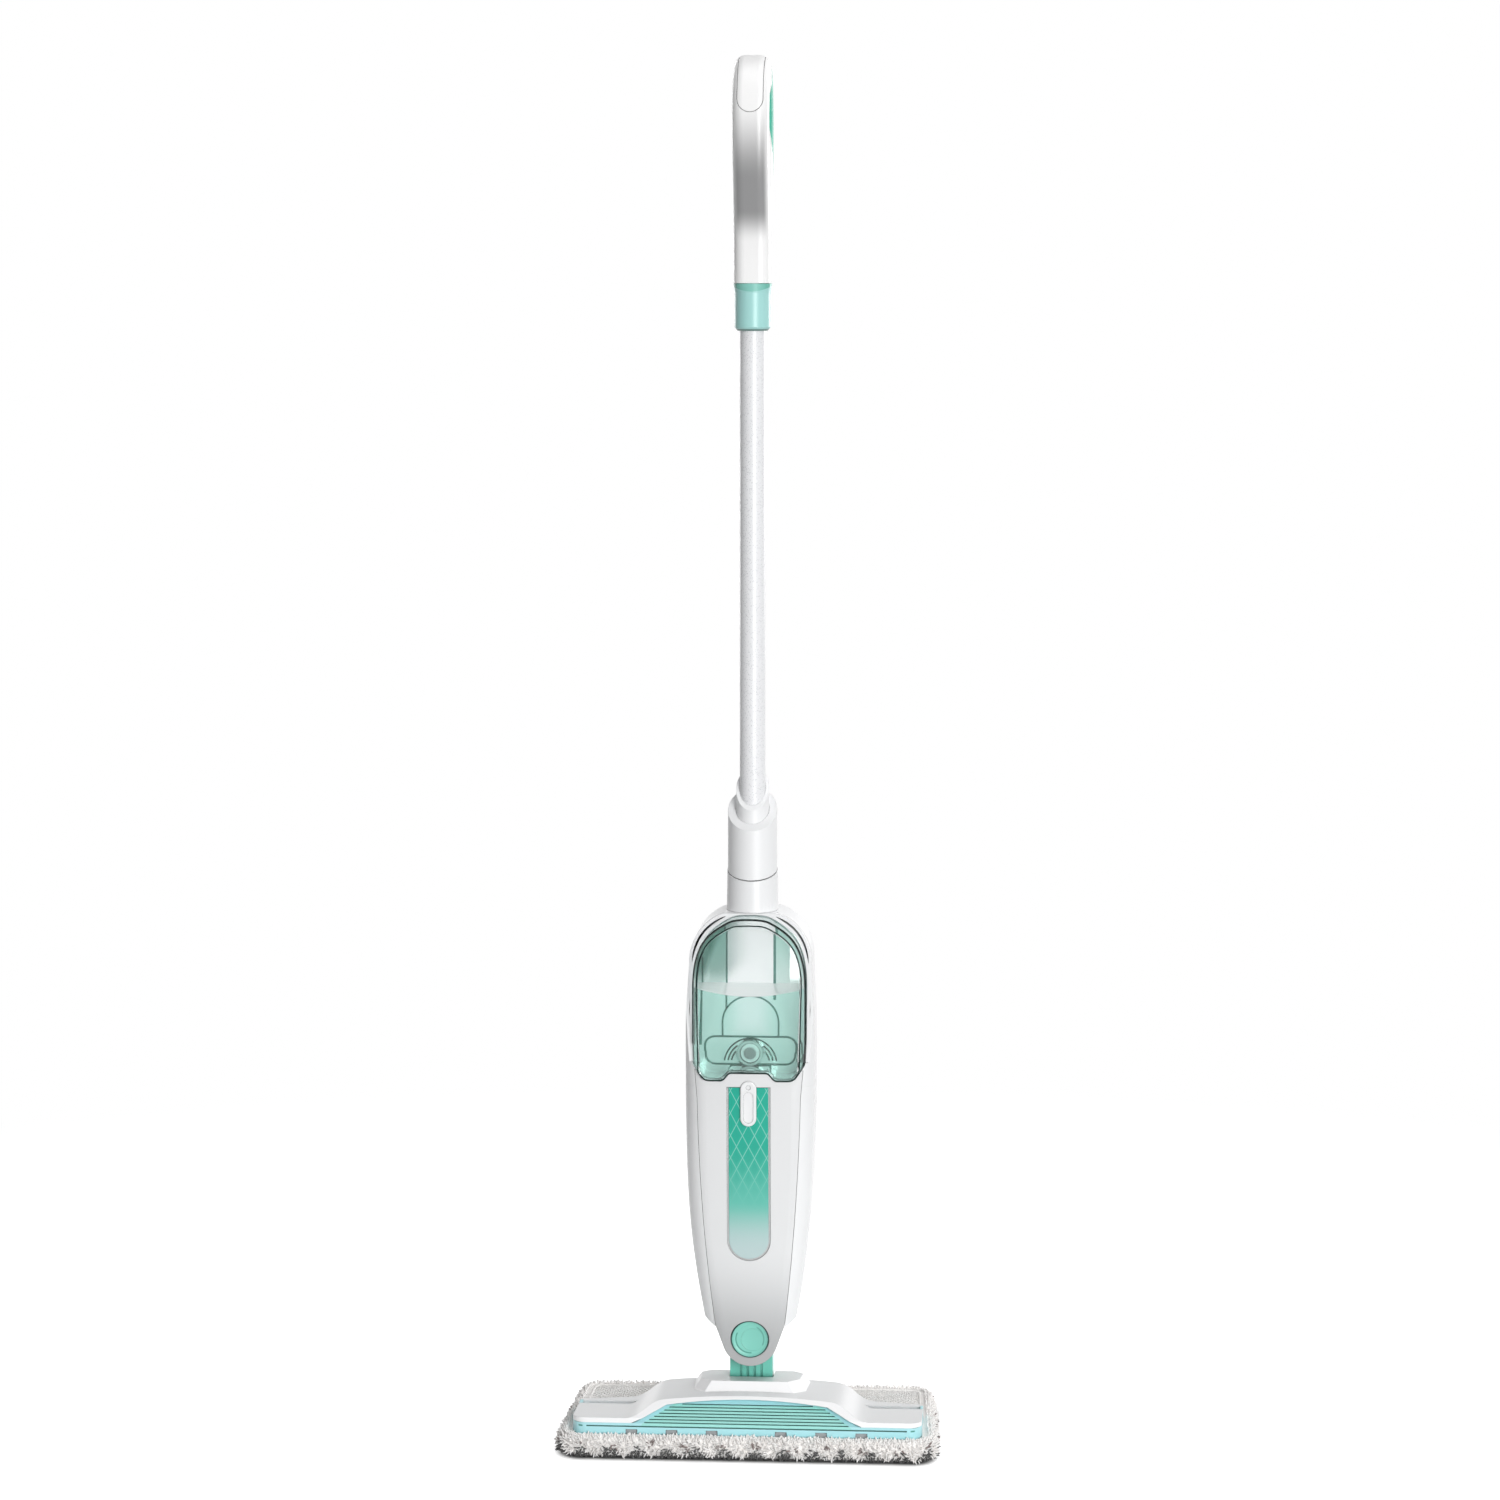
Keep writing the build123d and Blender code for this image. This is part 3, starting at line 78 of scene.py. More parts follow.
# Sizes of the tank's water, beads and ribs, in millimetres
TANK_HALF = 48.5
TANK_LOW = 328.8
TANK_WALL = 2.2
TANK_MIDDLE_Z = 385.0
TANK_FRONT = -47.0
WINDOW_FRONT = -47.18
WINDOW_ROUND = 300.0
WINDOW_LEAN = 0.0349
WINDOW_Z = 388.8
ARCH_HALF = 47.5
ARCH_FOOT = 395.8
ARCH_RISE = 63.6
ARCH_POWER = 2.45
SHOULDER_Y = -38.0
SHOULDER_LOW = 352.0
BACK_FACE = -15.6
WATER_LEVEL = 399.5
WATER_BACK = -15.8
WATER_FRONT = -44.4
FILLER_Z = 342.0
FILLER_ROOM = 11.9
WATER_COLUMNS = 25

# Sizes of the screws, in millimetres
SCREW_SIDES = 32
THREAD_PITCH = 1.4
SCREW_POINT = 2.0

# Places that finishes follow, in metres
BUTTON_Z = 0.091
BUTTON_RIDGE = 0.0121
COLLAR_BAND_Z = 0.992
COLLAR_BAND_CURVE = 16.3
PANEL_Y = -0.076
PANEL_Z = 0.0285
PANEL_COS = 0.816
PANEL_SIN = 0.578
PANEL_FOOT_LINE_Z = 0.0256
STRIP_LOW_Z = 0.168
STRIP_HIGH_Z = 0.312
LATTICE_WIDTH = 0.00515
LATTICE_HEIGHT = 0.0098
WALE = 0.0006
COURSE = 0.0008
SHADOW_HALF_WIDTH = 0.141
SHADOW_HALF_DEPTH = 0.07

# Grain of a fine mould, as a noise scale and a depth in metres
FINE_GRAIN = 1500.0
FINE_DEPTH = 0.00003


def tone(red, green, blue):
    """A colour written as 0 to 255 screen values, in linear light."""
    parts = []
    for value in (red, green, blue):
        share = value / 255
        parts.append(share / 12.92 if share <= 0.04045 else ((share + 0.055) / 1.055) ** 2.4)
    return (*parts, 1.0)


# Node helpers
def feed(tree, socket, value):
    if isinstance(value, bpy.types.NodeSocket):
        tree.links.new(value, socket)
    else:
        socket.default_value = value


def add_node(tree, kind, inputs=None, **settings):
    node = tree.nodes.new("ShaderNode" + kind)
    for name, value in settings.items():
        setattr(node, name, value)
    for name, value in (inputs or {}).items():
        feed(tree, node.inputs[name], value)
    return node


def calc(tree, operation, first, second=0.0):
    return add_node(tree, "Math", {0: first, 1: second}, operation=operation).outputs[0]


def product(tree, first, *others):
    for other in others:
        first = calc(tree, "MULTIPLY", first, other)
    return first


def distance(tree, first, second):
    """How far a spot lies away, from its offsets along two axes."""
    squares = calc(tree, "ADD", product(tree, first, first), product(tree, second, second))
    return calc(tree, "SQRT", squares)


def mix_colour(tree, share, first, second):
    return add_node(tree, "Mix", {0: share, 6: first, 7: second}, data_type="RGBA").outputs[2]


def shifted(tree, colour, value, saturation):
    """A colour made darker or paler, and more or less vivid."""
    inputs = {"Value": value, "Saturation": saturation, "Color": colour}
    return add_node(tree, "HueSaturation", inputs).outputs[0]


def rise(tree, value, low, high, start=0.0, end=1.0):
    inputs = {"Value": value, "From Min": low, "From Max": high, "To Min": start, "To Max": end}
    return add_node(tree, "MapRange", inputs, interpolation_type="SMOOTHSTEP").outputs[0]


def place_in_piece(tree):
    return add_node(tree, "TexCoord").outputs["Object"]


def face_normal(tree):
    return add_node(tree, "NewGeometry").outputs["Normal"]


def edge_turn(tree, width, samples):
    """The normal with edges rounded off, and how far it agrees with the plain one."""
    round_edge = add_node(tree, "Bevel", {"Radius": width}, samples=samples).outputs[0]
    inputs = {0: round_edge, 1: face_normal(tree)}
    same = add_node(tree, "VectorMath", inputs, operation="DOT_PRODUCT").outputs["Value"]
    return round_edge, same


def seen_rays(tree):
    """One for what the camera sees, also by way of gloss or glass."""
    path = add_node(tree, "LightPath").outputs
    beyond = calc(tree, "MAXIMUM", path["Is Glossy Ray"], path["Is Transmission Ray"])
    return calc(tree, "MAXIMUM", path["Is Camera Ray"], beyond)


def axes(tree, vector):
    return add_node(tree, "SeparateXYZ", {0: vector}).outputs


def noise(tree, vector, scale, detail=2.0, roughness=0.5):
    inputs = {"Vector": vector, "Scale": scale, "Detail": detail, "Roughness": roughness}
    return add_node(tree, "TexNoise", inputs).outputs["Fac"]


def stretched(tree, vector, scale):
    return add_node(tree, "Mapping", {"Vector": vector, "Scale": scale}).outputs[0]


def bump(tree, height, distance, strength=1.0, normal=None):
    inputs = {"Height": height, "Distance": distance, "Strength": strength}
    if normal is not None:
        inputs["Normal"] = normal
    return add_node(tree, "Bump", inputs).outputs[0]


def new_group(name, inputs, outputs):
    tree = bpy.data.node_groups.new(name, "ShaderNodeTree")
    for label, value in inputs:
        socket = tree.interface.new_socket(label, in_out="INPUT", socket_type="NodeSocketFloat")
        socket.default_value = value
    for label, kind in outputs:
        tree.interface.new_socket(label, in_out="OUTPUT", socket_type="NodeSocket" + kind)
    inner = tree.nodes.new("NodeGroupInput").outputs
    outer = tree.nodes.new("NodeGroupOutput").inputs
    return tree, inner, outer


def place_group(tree, group, **inputs):
    node = tree.nodes.new("ShaderNodeGroup")
    node.node_tree = group
    for name, value in inputs.items():
        feed(tree, node.inputs[name.replace("_", " ")], value)
    return node.outputs


# Effects that several finishes share
def moulded_skin_group():
    """Fine grain left by the mould, and a slow drift of tone."""
    tree, inner, outer = new_group(
        "Moulded skin", [("Grain", 900.0)], [("Height", "Float"), ("Drift", "Float")])
    where = place_in_piece(tree)
    feed(tree, outer["Height"], noise(tree, where, inner["Grain"], 2.0, 0.55))
    feed(tree, outer["Drift"], rise(tree, noise(tree, where, 11.0, 3.0), 0.3, 0.7))
    return tree


def edge_rub_group():
    """Edges rounded off a little, and a mask of where hands and floors rub them."""
    tree, inner, outer = new_group(
        "Edge rub", [("Width", 0.0006), ("Breakup", 60.0)], [("Mask", "Float"), ("Normal", "Vector")])
    round_edge, same = edge_turn(tree, inner["Width"], 4)
    edge = rise(tree, same, 0.995, 0.8)
    patches = rise(tree, noise(tree, place_in_piece(tree), inner["Breakup"], 3.0), 0.42, 0.62)
    feed(tree, outer["Mask"], product(tree, edge, patches))
    feed(tree, outer["Normal"], round_edge)
    return tree


def handling_group():
    """Faint smears and hairline scuffs that change the gloss."""
    tree, inner, outer = new_group(
        "Handling", [("Size", 26.0)], [("Smear", "Float"), ("Scuff", "Float")])
    where = place_in_piece(tree)
    smear = noise(tree, stretched(tree, where, (1.0, 1.0, 0.35)), inner["Size"], 4.0, 0.6)
    feed(tree, outer["Smear"], rise(tree, smear, 0.45, 0.75))
    inputs = {"Vector": stretched(tree, where, (1.0, 1.0, 0.12)), "Scale": 90.0}
    lines = add_node(tree, "TexVoronoi", inputs, feature="DISTANCE_TO_EDGE").outputs[0]
    thin = rise(tree, lines, 0.012, 0.0)
    few = rise(tree, noise(tree, where, 17.0, 2.0), 0.56, 0.66)
    feed(tree, outer["Scuff"], product(tree, thin, few))
    return tree


def settled_dust_group():
    """A thin film of dust on what faces up."""
    tree, inner, outer = new_group("Settled dust", [("Amount", 0.3)], [("Mask", "Float")])
    upward = rise(tree, axes(tree, face_normal(tree))["Z"], 0.55, 1.0)
    patchy = rise(tree, noise(tree, place_in_piece(tree), 70.0, 5.0, 0.65), 0.35, 0.75)
    feed(tree, outer["Mask"], product(tree, upward, patchy, inner["Amount"]))
    return tree


def drawn_metal_group():
    """Fine lines along a drawn or brushed metal, and dull patches."""
    tree, inner, outer = new_group(
        "Drawn metal", [("Lines", 1400.0)], [("Height", "Float"), ("Dull", "Float")])
    where = place_in_piece(tree)
    lines = noise(tree, stretched(tree, where, (1.0, 1.0, 0.03)), inner["Lines"], 2.0)
    feed(tree, outer["Height"], lines)
    feed(tree, outer["Dull"], rise(tree, noise(tree, where, 60.0, 4.0), 0.4, 0.7))
    return tree


def seam_shade_group():
    """How deep a spot lies in a seam, a groove or a tight corner: the mask for painted shade there."""
    tree, inner, outer = new_group("Seam shade", [("Reach", 0.002)], [("Mask", "Float")])
    inputs = {"Distance": inner["Reach"]}
    open_share = add_node(tree, "AmbientOcclusion", inputs, samples=6).outputs["AO"]
    feed(tree, outer["Mask"], rise(tree, open_share, 0.8, 0.3))
    return tree


def clear_wall_group():
    """Edges of a clear moulding, a slow drift of its tint and faint flow lines."""
    tree, inner, outer = new_group(
        "Clear wall", [("Width", 0.0012)], [("Edge", "Float"), ("Drift", "Float"), ("Flow", "Float")])
    where = place_in_piece(tree)
    _, same = edge_turn(tree, inner["Width"], 6)
    feed(tree, outer["Edge"], rise(tree, same, 0.985, 0.9))
    feed(tree, outer["Drift"], rise(tree, noise(tree, where, 16.0, 2.0), 0.3, 0.7))
    feed(tree, outer["Flow"], noise(tree, stretched(tree, where, (1.0, 1.0, 0.4)), 45.0, 2.0))
    return tree


def still_water_group():
    """A slow drift of the water's tint, and a faint ripple."""
    tree, inner, outer = new_group(
        "Still water", [("Size", 25.0)], [("Drift", "Float"), ("Ripple", "Float")])
    where = place_in_piece(tree)
    feed(tree, outer["Drift"], rise(tree, noise(tree, where, inner["Size"], 2.0), 0.3, 0.7))
    feed(tree, outer["Ripple"], noise(tree, where, 60.0, 1.0))
    return tree


def yarn_group():
    """The fine fibres of a yarn."""
    tree, inner, outer = new_group("Yarn", [("Size", 1500.0)], [("Fibre", "Float")])
    feed(tree, outer["Fibre"], noise(tree, place_in_piece(tree), inner["Size"], 3.0, 0.7))
    return tree


MOULDED_SKIN = moulded_skin_group()
EDGE_RUB = edge_rub_group()
HANDLING = handling_group()
SETTLED_DUST = settled_dust_group()
DRAWN_METAL = drawn_metal_group()
SEAM_SHADE = seam_shade_group()
CLEAR_WALL = clear_wall_group()
STILL_WATER = still_water_group()
YARN = yarn_group()


# Finishes
def blank(name):
    material = bpy.data.materials.new(name)
    material.use_nodes = True
    tree = material.node_tree
    return material, tree, tree.nodes["Principled BSDF"]


def moulded_finish(tree, shader, colour, roughness, grain=FINE_GRAIN, depth=FINE_DEPTH, rub=0.35, dust=0.02,
                   seam_reach=0.002, smear=0.0):
    """Wires a moulded plastic: colour may be a value or a socket."""
    skin = place_group(tree, MOULDED_SKIN, Grain=grain)
    worn = place_group(tree, EDGE_RUB)
    seam = place_group(tree, SEAM_SHADE, Reach=seam_reach)
    base = mix_colour(tree, skin["Drift"], colour, shifted(tree, colour, 0.988, 1.02))
    base = mix_colour(tree, product(tree, worn["Mask"], rub), base, shifted(tree, colour, 1.04, 0.85))
    if dust:
        settled = place_group(tree, SETTLED_DUST, Amount=dust)
        base = mix_colour(tree, settled["Mask"], base, tone(206, 202, 194))
    # Painted shade: the colour is darkened in seams, grooves and tight corners, found by ambient occlusion.
    base = mix_colour(tree, seam["Mask"], base, shifted(tree, base, 0.3, 1.1))
    feed(tree, shader.inputs["Base Color"], base)
    if smear:
        marks = place_group(tree, HANDLING)
        roughness = calc(tree, "ADD", product(tree, marks["Smear"], smear), roughness)
        roughness = calc(tree, "ADD", product(tree, marks["Scuff"], 2 * smear), roughness)
    feed(tree, shader.inputs["Roughness"], roughness)
    feed(tree, shader.inputs["Normal"], bump(tree, skin["Height"], depth, 0.6, worn["Normal"]))


def moulded(name, colour, roughness, gloss=0.5, **wear):
    material, tree, shader = blank(name)
    shader.inputs["Specular IOR Level"].default_value = gloss
    moulded_finish(tree, shader, tone(*colour), roughness, **wear)
    return material


def button_teal():
    """Teal moulding with painted shade: dark round the rim where the gap lies, and in a line along two
    stretches of the finger ridge.
    """
    material, tree, shader = blank("button_teal")
    x, _, z = axes(tree, place_in_piece(tree))
    high = calc(tree, "SUBTRACT", z, BUTTON_Z)
    far = distance(tree, x, high)
    # Painted shade in a line at the foot of the finger ridge, over two stretches.
    line = 0.0
    for turn, spread, weight in ((215, 62, 0.9), (17, 43, 0.65)):
        across = product(tree, x, math.cos(math.radians(turn)))
        upward = product(tree, high, math.sin(math.radians(turn)))
        toward = calc(tree, "DIVIDE", calc(tree, "ADD", across, upward), far)
        edge = math.cos(math.radians(spread))
        line = calc(tree, "MAXIMUM", line, rise(tree, toward, edge - 0.05, edge + 0.05, 0.0, weight))
    off_ridge = calc(tree, "ABSOLUTE", calc(tree, "SUBTRACT", far, BUTTON_RIDGE))
    line = product(tree, line, rise(tree, off_ridge, 0.0008, 0.0003))
    colour = mix_colour(tree, line, tone(130, 206, 191), tone(66, 146, 131))
    # Painted shade in the gap round the button's rim.
    colour = mix_colour(tree, rise(tree, far, 0.0149, 0.0157), colour, tone(36, 88, 80))
    moulded_finish(tree, shader, colour, 0.3)
    return material


def collar_teal():
    """Pale aqua moulding, with painted shade on the flare under the handle that deepens towards its sides,
    and dark along its foot.
    """
    material, tree, shader = blank("collar_teal")
    x, _, z = axes(tree, place_in_piece(tree))
    # Painted shade: the handle's shadow on the flare, with a curved lower edge, darker at the sides where
    # the flare turns away.
    border = calc(tree, "ADD", product(tree, x, x, COLLAR_BAND_CURVE), COLLAR_BAND_Z)
    side = rise(tree, calc(tree, "ABSOLUTE", x), 0.006, 0.015)
    shaded_flare = mix_colour(tree, side, tone(142, 210, 198), tone(112, 192, 176))
    band = rise(tree, calc(tree, "SUBTRACT", z, border), -0.0004, 0.0004)
    colour = mix_colour(tree, band, tone(172, 226, 222), shaded_flare)
    colour = mix_colour(tree, rise(tree, z, 0.961, 0.96), colour, tone(96, 132, 126))
    moulded_finish(tree, shader, colour, 0.3)
    return material


def handle_white():
    """White moulding with painted shade, a soft grey area low on the front limb where it faces down."""
    material, tree, shader = blank("handle_white")
    x, y, z = axes(tree, place_in_piece(tree))
    # Painted shade on the downward-facing bow of the front limb.
    middle = rise(tree, calc(tree, "ABSOLUTE", x), 0.0152, 0.0105)
    front = rise(tree, y, 0.0, -0.008)
    limb_shade = product(tree, rise(tree, z, 1.033, 1.06), rise(tree, z, 1.152, 1.085), middle, front)
    colour = mix_colour(tree, limb_shade, tone(254, 254, 254), tone(152, 152, 153))
    moulded_finish(tree, shader, colour, 0.3)
    return material


def body_white():
    """White moulding with painted shade that greys it a little towards the swivel."""
    material, tree, shader = blank("body_white")
    z = axes(tree, place_in_piece(tree))["Z"]
    # Painted shade: darker towards the bottom, round the button.
    colour = mix_colour(tree, rise(tree, z, 0.175, 0.075), tone(231, 232, 233), tone(176, 177, 178))
    moulded_finish(tree, shader, colour, 0.27)
    return material


def cover_white():
    """White moulding with painted shade: greyer on the level faces than on the bright front rim."""
    material, tree, shader = blank("cover_white")
    upright = axes(tree, face_normal(tree))["Z"]
    # Painted shade by facing: up-facing faces are greyer than the front rim.
    colour = mix_colour(tree, rise(tree, upright, 0.76, 0.98), tone(252, 252, 253), tone(230, 231, 232))
    moulded_finish(tree, shader, colour, 0.3, dust=0.0)
    return material


def aqua_skirt():
    """Aqua moulding with a greener grooved field on the sloping panel."""
    material, tree, shader = blank("aqua_skirt")
    x, y, z = axes(tree, place_in_piece(tree))
    run = calc(tree, "SUBTRACT", y, PANEL_Y)
    lift = calc(tree, "SUBTRACT", z, PANEL_Z)
    along = calc(tree, "ADD", product(tree, run, PANEL_COS), product(tree, lift, PANEL_SIN))
    above = calc(tree, "SUBTRACT", product(tree, lift, PANEL_COS), product(tree, run, PANEL_SIN))
    reach = calc(tree, "SUBTRACT", 0.0887, product(tree, along, 1.18))
    between = rise(tree, calc(tree, "SUBTRACT", reach, calc(tree, "ABSOLUTE", x)), -0.0006, 0.0002)
    inside = product(tree, between, rise(tree, z, 0.0252, 0.0258), rise(tree, along, 0.0222, 0.0214))
    field = mix_colour(tree, inside, tone(178, 231, 237), tone(164, 230, 222))
    # The groove floors are darker, partly painted shade in the grooves and partly darker paint.
    sunk = product(tree, rise(tree, above, -0.0003, -0.0006), rise(tree, above, -0.0032, -0.0022),
                   rise(tree, lift, -0.0006, 0.0))
    level = calc(tree, "ABSOLUTE", calc(tree, "SUBTRACT", z, PANEL_FOOT_LINE_Z))
    line = product(tree, rise(tree, run, 0.0002, 0.0005), rise(tree, level, 0.0008, 0.0006),
                   rise(tree, run, 0.0022, 0.0014))
    colour = mix_colour(tree, calc(tree, "MAXIMUM", sunk, line), field, tone(64, 140, 130))
    moulded_finish(tree, shader, colour, 0.3)
    return material


def speckled_paint():
    """White powder paint with pale grey and silver flecks over a fine orange peel."""
    material, tree, shader = blank("speckled_paint")
    where = place_in_piece(tree)
    cells = add_node(tree, "TexVoronoi", {"Vector": where, "Scale": 1150.0}).outputs
    pick = axes(tree, cells["Color"])["X"]
    near = rise(tree, cells["Distance"], 0.42, 0.2)
    fleck = product(tree, rise(tree, pick, 0.62, 0.68), near)
    glint = product(tree, rise(tree, pick, 0.86, 0.9), near)
    worn = place_group(tree, EDGE_RUB, Width=0.0004)
    marks = place_group(tree, HANDLING, Size=18.0)
    base = mix_colour(tree, fleck, tone(243, 244, 246), tone(186, 188, 192))
    base = mix_colour(tree, product(tree, marks["Smear"], 0.25), base, tone(234, 235, 238))
    feed(tree, shader.inputs["Base Color"], base)
    feed(tree, shader.inputs["Metallic"], product(tree, glint, 0.7))
    rough = calc(tree, "ADD", product(tree, marks["Smear"], 0.1), 0.3)
    feed(tree, shader.inputs["Roughness"], rough)
    peel = calc(tree, "ADD", noise(tree, where, 700.0, 2.0), product(tree, fleck, 0.5))
    feed(tree, shader.inputs["Normal"], bump(tree, peel, 0.00006, 0.5, worn["Normal"]))
    return material


def let_lamps_through(tree, shader):
    """What stands behind clear plastic or water is lit as through air."""
    path = add_node(tree, "LightPath").outputs
    clear = add_node(tree, "BsdfTransparent", {"Color": tone(254, 255, 255)}).outputs[0]
    passing = calc(tree, "MAXIMUM", path["Is Shadow Ray"], path["Is Diffuse Ray"])
    both = add_node(tree, "MixShader", {0: passing, 1: shader.outputs[0], 2: clear}).outputs[0]
    tree.links.new(both, tree.nodes["Material Output"].inputs["Surface"])


def shoulder_shade(tree, base):
    """Painted shade on the tank's bevel, dark where it turns away at the upper left."""
    x, y, z = axes(tree, place_in_piece(tree))
    band = product(tree, rise(tree, y, -0.0444, -0.0436), rise(tree, y, -0.0374, -0.0382))
    left = product(tree, rise(tree, x, 0.012, -0.03), rise(tree, z, 0.392, 0.425))
    share = product(tree, band, rise(tree, left, 0.0, 1.0, 0.12, 0.85))
    return mix_colour(tree, share, base, tone(22, 104, 90))


def back_tint(tree, base):
    """The tank's back is deeper beside the pump tower, most of all near the top."""
    x, _, z = axes(tree, place_in_piece(tree))
    start = rise(tree, z, 0.38, 0.4, 0.004, 0.0192)
    side = rise(tree, calc(tree, "ABSOLUTE", x), start, 0.0225)
    deep = product(tree, side, rise(tree, z, 0.395, 0.45, 0.5, 1.0))
    low = product(tree, rise(tree, z, 0.37, 0.345), 0.6)
    return mix_colour(tree, calc(tree, "MAXIMUM", deep, low), base, tone(182, 226, 215))


def clear_moulding(name, colour, roughness, clear=1.0, paint=None):
    """Clear tinted plastic, deeper where it is seen along the wall, with painted shade along its edges and
    flow lines.
    """
    material, tree, shader = blank(name)
    let_lamps_through(tree, shader)
    shader.inputs["Transmission Weight"].default_value = clear
    shader.inputs["IOR"].default_value = 1.5
    wall = place_group(tree, CLEAR_WALL)
    marks = place_group(tree, HANDLING, Size=20.0)
    deeper = tone(*[part * 0.97 for part in colour])
    base = mix_colour(tree, product(tree, wall["Drift"], 0.25), tone(*colour), deeper)
    along_wall = rise(tree, add_node(tree, "LayerWeight", {"Blend": 0.5}).outputs["Facing"], 0.45, 0.95)
    base = mix_colour(tree, product(tree, along_wall, 0.8), base, tone(70, 150, 140))
    # Painted shade along the sharp edges, for the dark look of clear edges.
    base = mix_colour(tree, wall["Edge"], base, tone(16, 70, 64))
    if paint:
        base = paint(tree, base)
    feed(tree, shader.inputs["Base Color"], base)
    rough = calc(tree, "ADD", product(tree, marks["Smear"], 0.03), roughness)
    feed(tree, shader.inputs["Roughness"], rough)
    feed(tree, shader.inputs["Normal"], bump(tree, wall["Flow"], 0.0001, 0.15))
    return material


def tank_water():
    """The water itself, with a faint tint."""
    material, tree, shader = blank("tank_water")
    let_lamps_through(tree, shader)
    shader.inputs["Transmission Weight"].default_value = 1.0
    shader.inputs["IOR"].default_value = 1.12
    still = place_group(tree, STILL_WATER, Size=25.0)
    base = mix_colour(tree, still["Drift"], tone(221, 245, 240), tone(216, 243, 237))
    feed(tree, shader.inputs["Base Color"], base)
    feed(tree, shader.inputs["Roughness"], product(tree, still["Drift"], 0.03))
    feed(tree, shader.inputs["Normal"], bump(tree, still["Ripple"], 0.0002, 0.1))
    return material


def water_top():
    """The water's upper face, which catches the light of the room."""
    material, tree, shader = blank("water_top")
    let_lamps_through(tree, shader)
    shader.inputs["IOR"].default_value = 1.5
    shader.inputs["Coat Weight"].default_value = 1.0
    shader.inputs["Coat IOR"].default_value = 1.6
    still = place_group(tree, STILL_WATER, Size=30.0)
    base = mix_colour(tree, still["Drift"], tone(250, 254, 253), tone(244, 251, 249))
    feed(tree, shader.inputs["Base Color"], base)
    feed(tree, shader.inputs["Roughness"], product(tree, still["Drift"], 0.1))
    feed(tree, shader.inputs["Normal"], bump(tree, still["Ripple"], 0.0002, 0.1))
    return material


def printed_film():
    """Satin film with a teal print that fades downward and a fine diamond lattice."""
    material, tree, shader = blank("printed_film")
    x, _, z = axes(tree, place_in_piece(tree))
    height = rise(tree, z, STRIP_LOW_Z, STRIP_HIGH_Z)
    low = mix_colour(tree, rise(tree, height, -0.1, 0.27), tone(203, 215, 218), tone(104, 194, 178))
    ground = mix_colour(tree, rise(tree, height, 0.12, 0.8), low, tone(22, 172, 148))
    across = calc(tree, "DIVIDE", calc(tree, "PINGPONG", x, LATTICE_WIDTH), LATTICE_WIDTH)
    level = calc(tree, "DIVIDE", calc(tree, "PINGPONG", z, LATTICE_HEIGHT), LATTICE_HEIGHT)
    off = calc(tree, "ABSOLUTE", calc(tree, "SUBTRACT", calc(tree, "ADD", across, level), 1.0))
    fade = rise(tree, height, 0.18, 0.75)
    line = product(tree, fade, 0.55, rise(tree, off, 0.085, 0.05))
    core = product(tree, fade, 0.35, rise(tree, off, 0.42, 0.46))
    colour = mix_colour(tree, line, ground, tone(170, 226, 216))
    colour = mix_colour(tree, core, colour, tone(22, 160, 138))
    moulded_finish(tree, shader, colour, 0.34, 2200.0, 0.00002, rub=0.2)
    return material


def metal(name, colour, roughness, lines=1400.0, cast=0.0):
    """Drawn metal with bright edges; a casting also has a coarse skin."""
    material, tree, shader = blank(name)
    shader.inputs["Metallic"].default_value = 1.0
    drawn = place_group(tree, DRAWN_METAL, Lines=lines)
    worn = place_group(tree, EDGE_RUB, Width=0.0003)
    darker = tone(*[part * 0.8 for part in colour])
    base = mix_colour(tree, product(tree, drawn["Dull"], 0.5), tone(*colour), darker)
    base = mix_colour(tree, product(tree, worn["Mask"], 0.4), base, tone(225, 226, 228))
    feed(tree, shader.inputs["Base Color"], base)
    rough = calc(tree, "ADD", product(tree, drawn["Dull"], 0.15), roughness)
    feed(tree, shader.inputs["Roughness"], rough)
    height = drawn["Height"]
    if cast:
        skin = noise(tree, place_in_piece(tree), 500.0, 3.0)
        height = calc(tree, "ADD", height, product(tree, skin, cast))
    feed(tree, shader.inputs["Normal"], bump(tree, height, 0.00004, 0.6, worn["Normal"]))
    return material


def chenille():
    """Looped pile: off white, with dark scrubbing yarn, partly painted shade along the foot, and a few
    brown flecks.
    """
    material, tree, shader = blank("chenille")
    shader.inputs["Sheen Weight"].default_value = 0.7
    shader.inputs["Sheen Roughness"].default_value = 0.5
    layers = [add_node(tree, "Attribute", attribute_name=name) for name in ("dark_yarn_and_shade", "fleck", "shade")]
    dark_yarn_and_shade, fleck, shade = [layer.outputs["Fac"] for layer in layers]
    fibre = place_group(tree, YARN, Size=1600.0)["Fibre"]
    pale = mix_colour(tree, shade, tone(250, 246, 243), tone(255, 254, 253))
    dark = mix_colour(tree, shade, tone(34, 35, 35), tone(74, 75, 74))
    colour = mix_colour(tree, fleck, pale, tone(132, 116, 112))
    # The dark yarn mask also carries painted shade along the pad's foot.
    colour = mix_colour(tree, dark_yarn_and_shade, colour, dark)
    colour = mix_colour(tree, product(tree, fibre, 0.04), colour, tone(215, 207, 201))
    feed(tree, shader.inputs["Base Color"], colour)
    feed(tree, shader.inputs["Roughness"], rise(tree, fibre, 0.2, 0.8, 0.82, 1.0))
    feed(tree, shader.inputs["Normal"], bump(tree, fibre, 0.0003, 0.7))
    return material


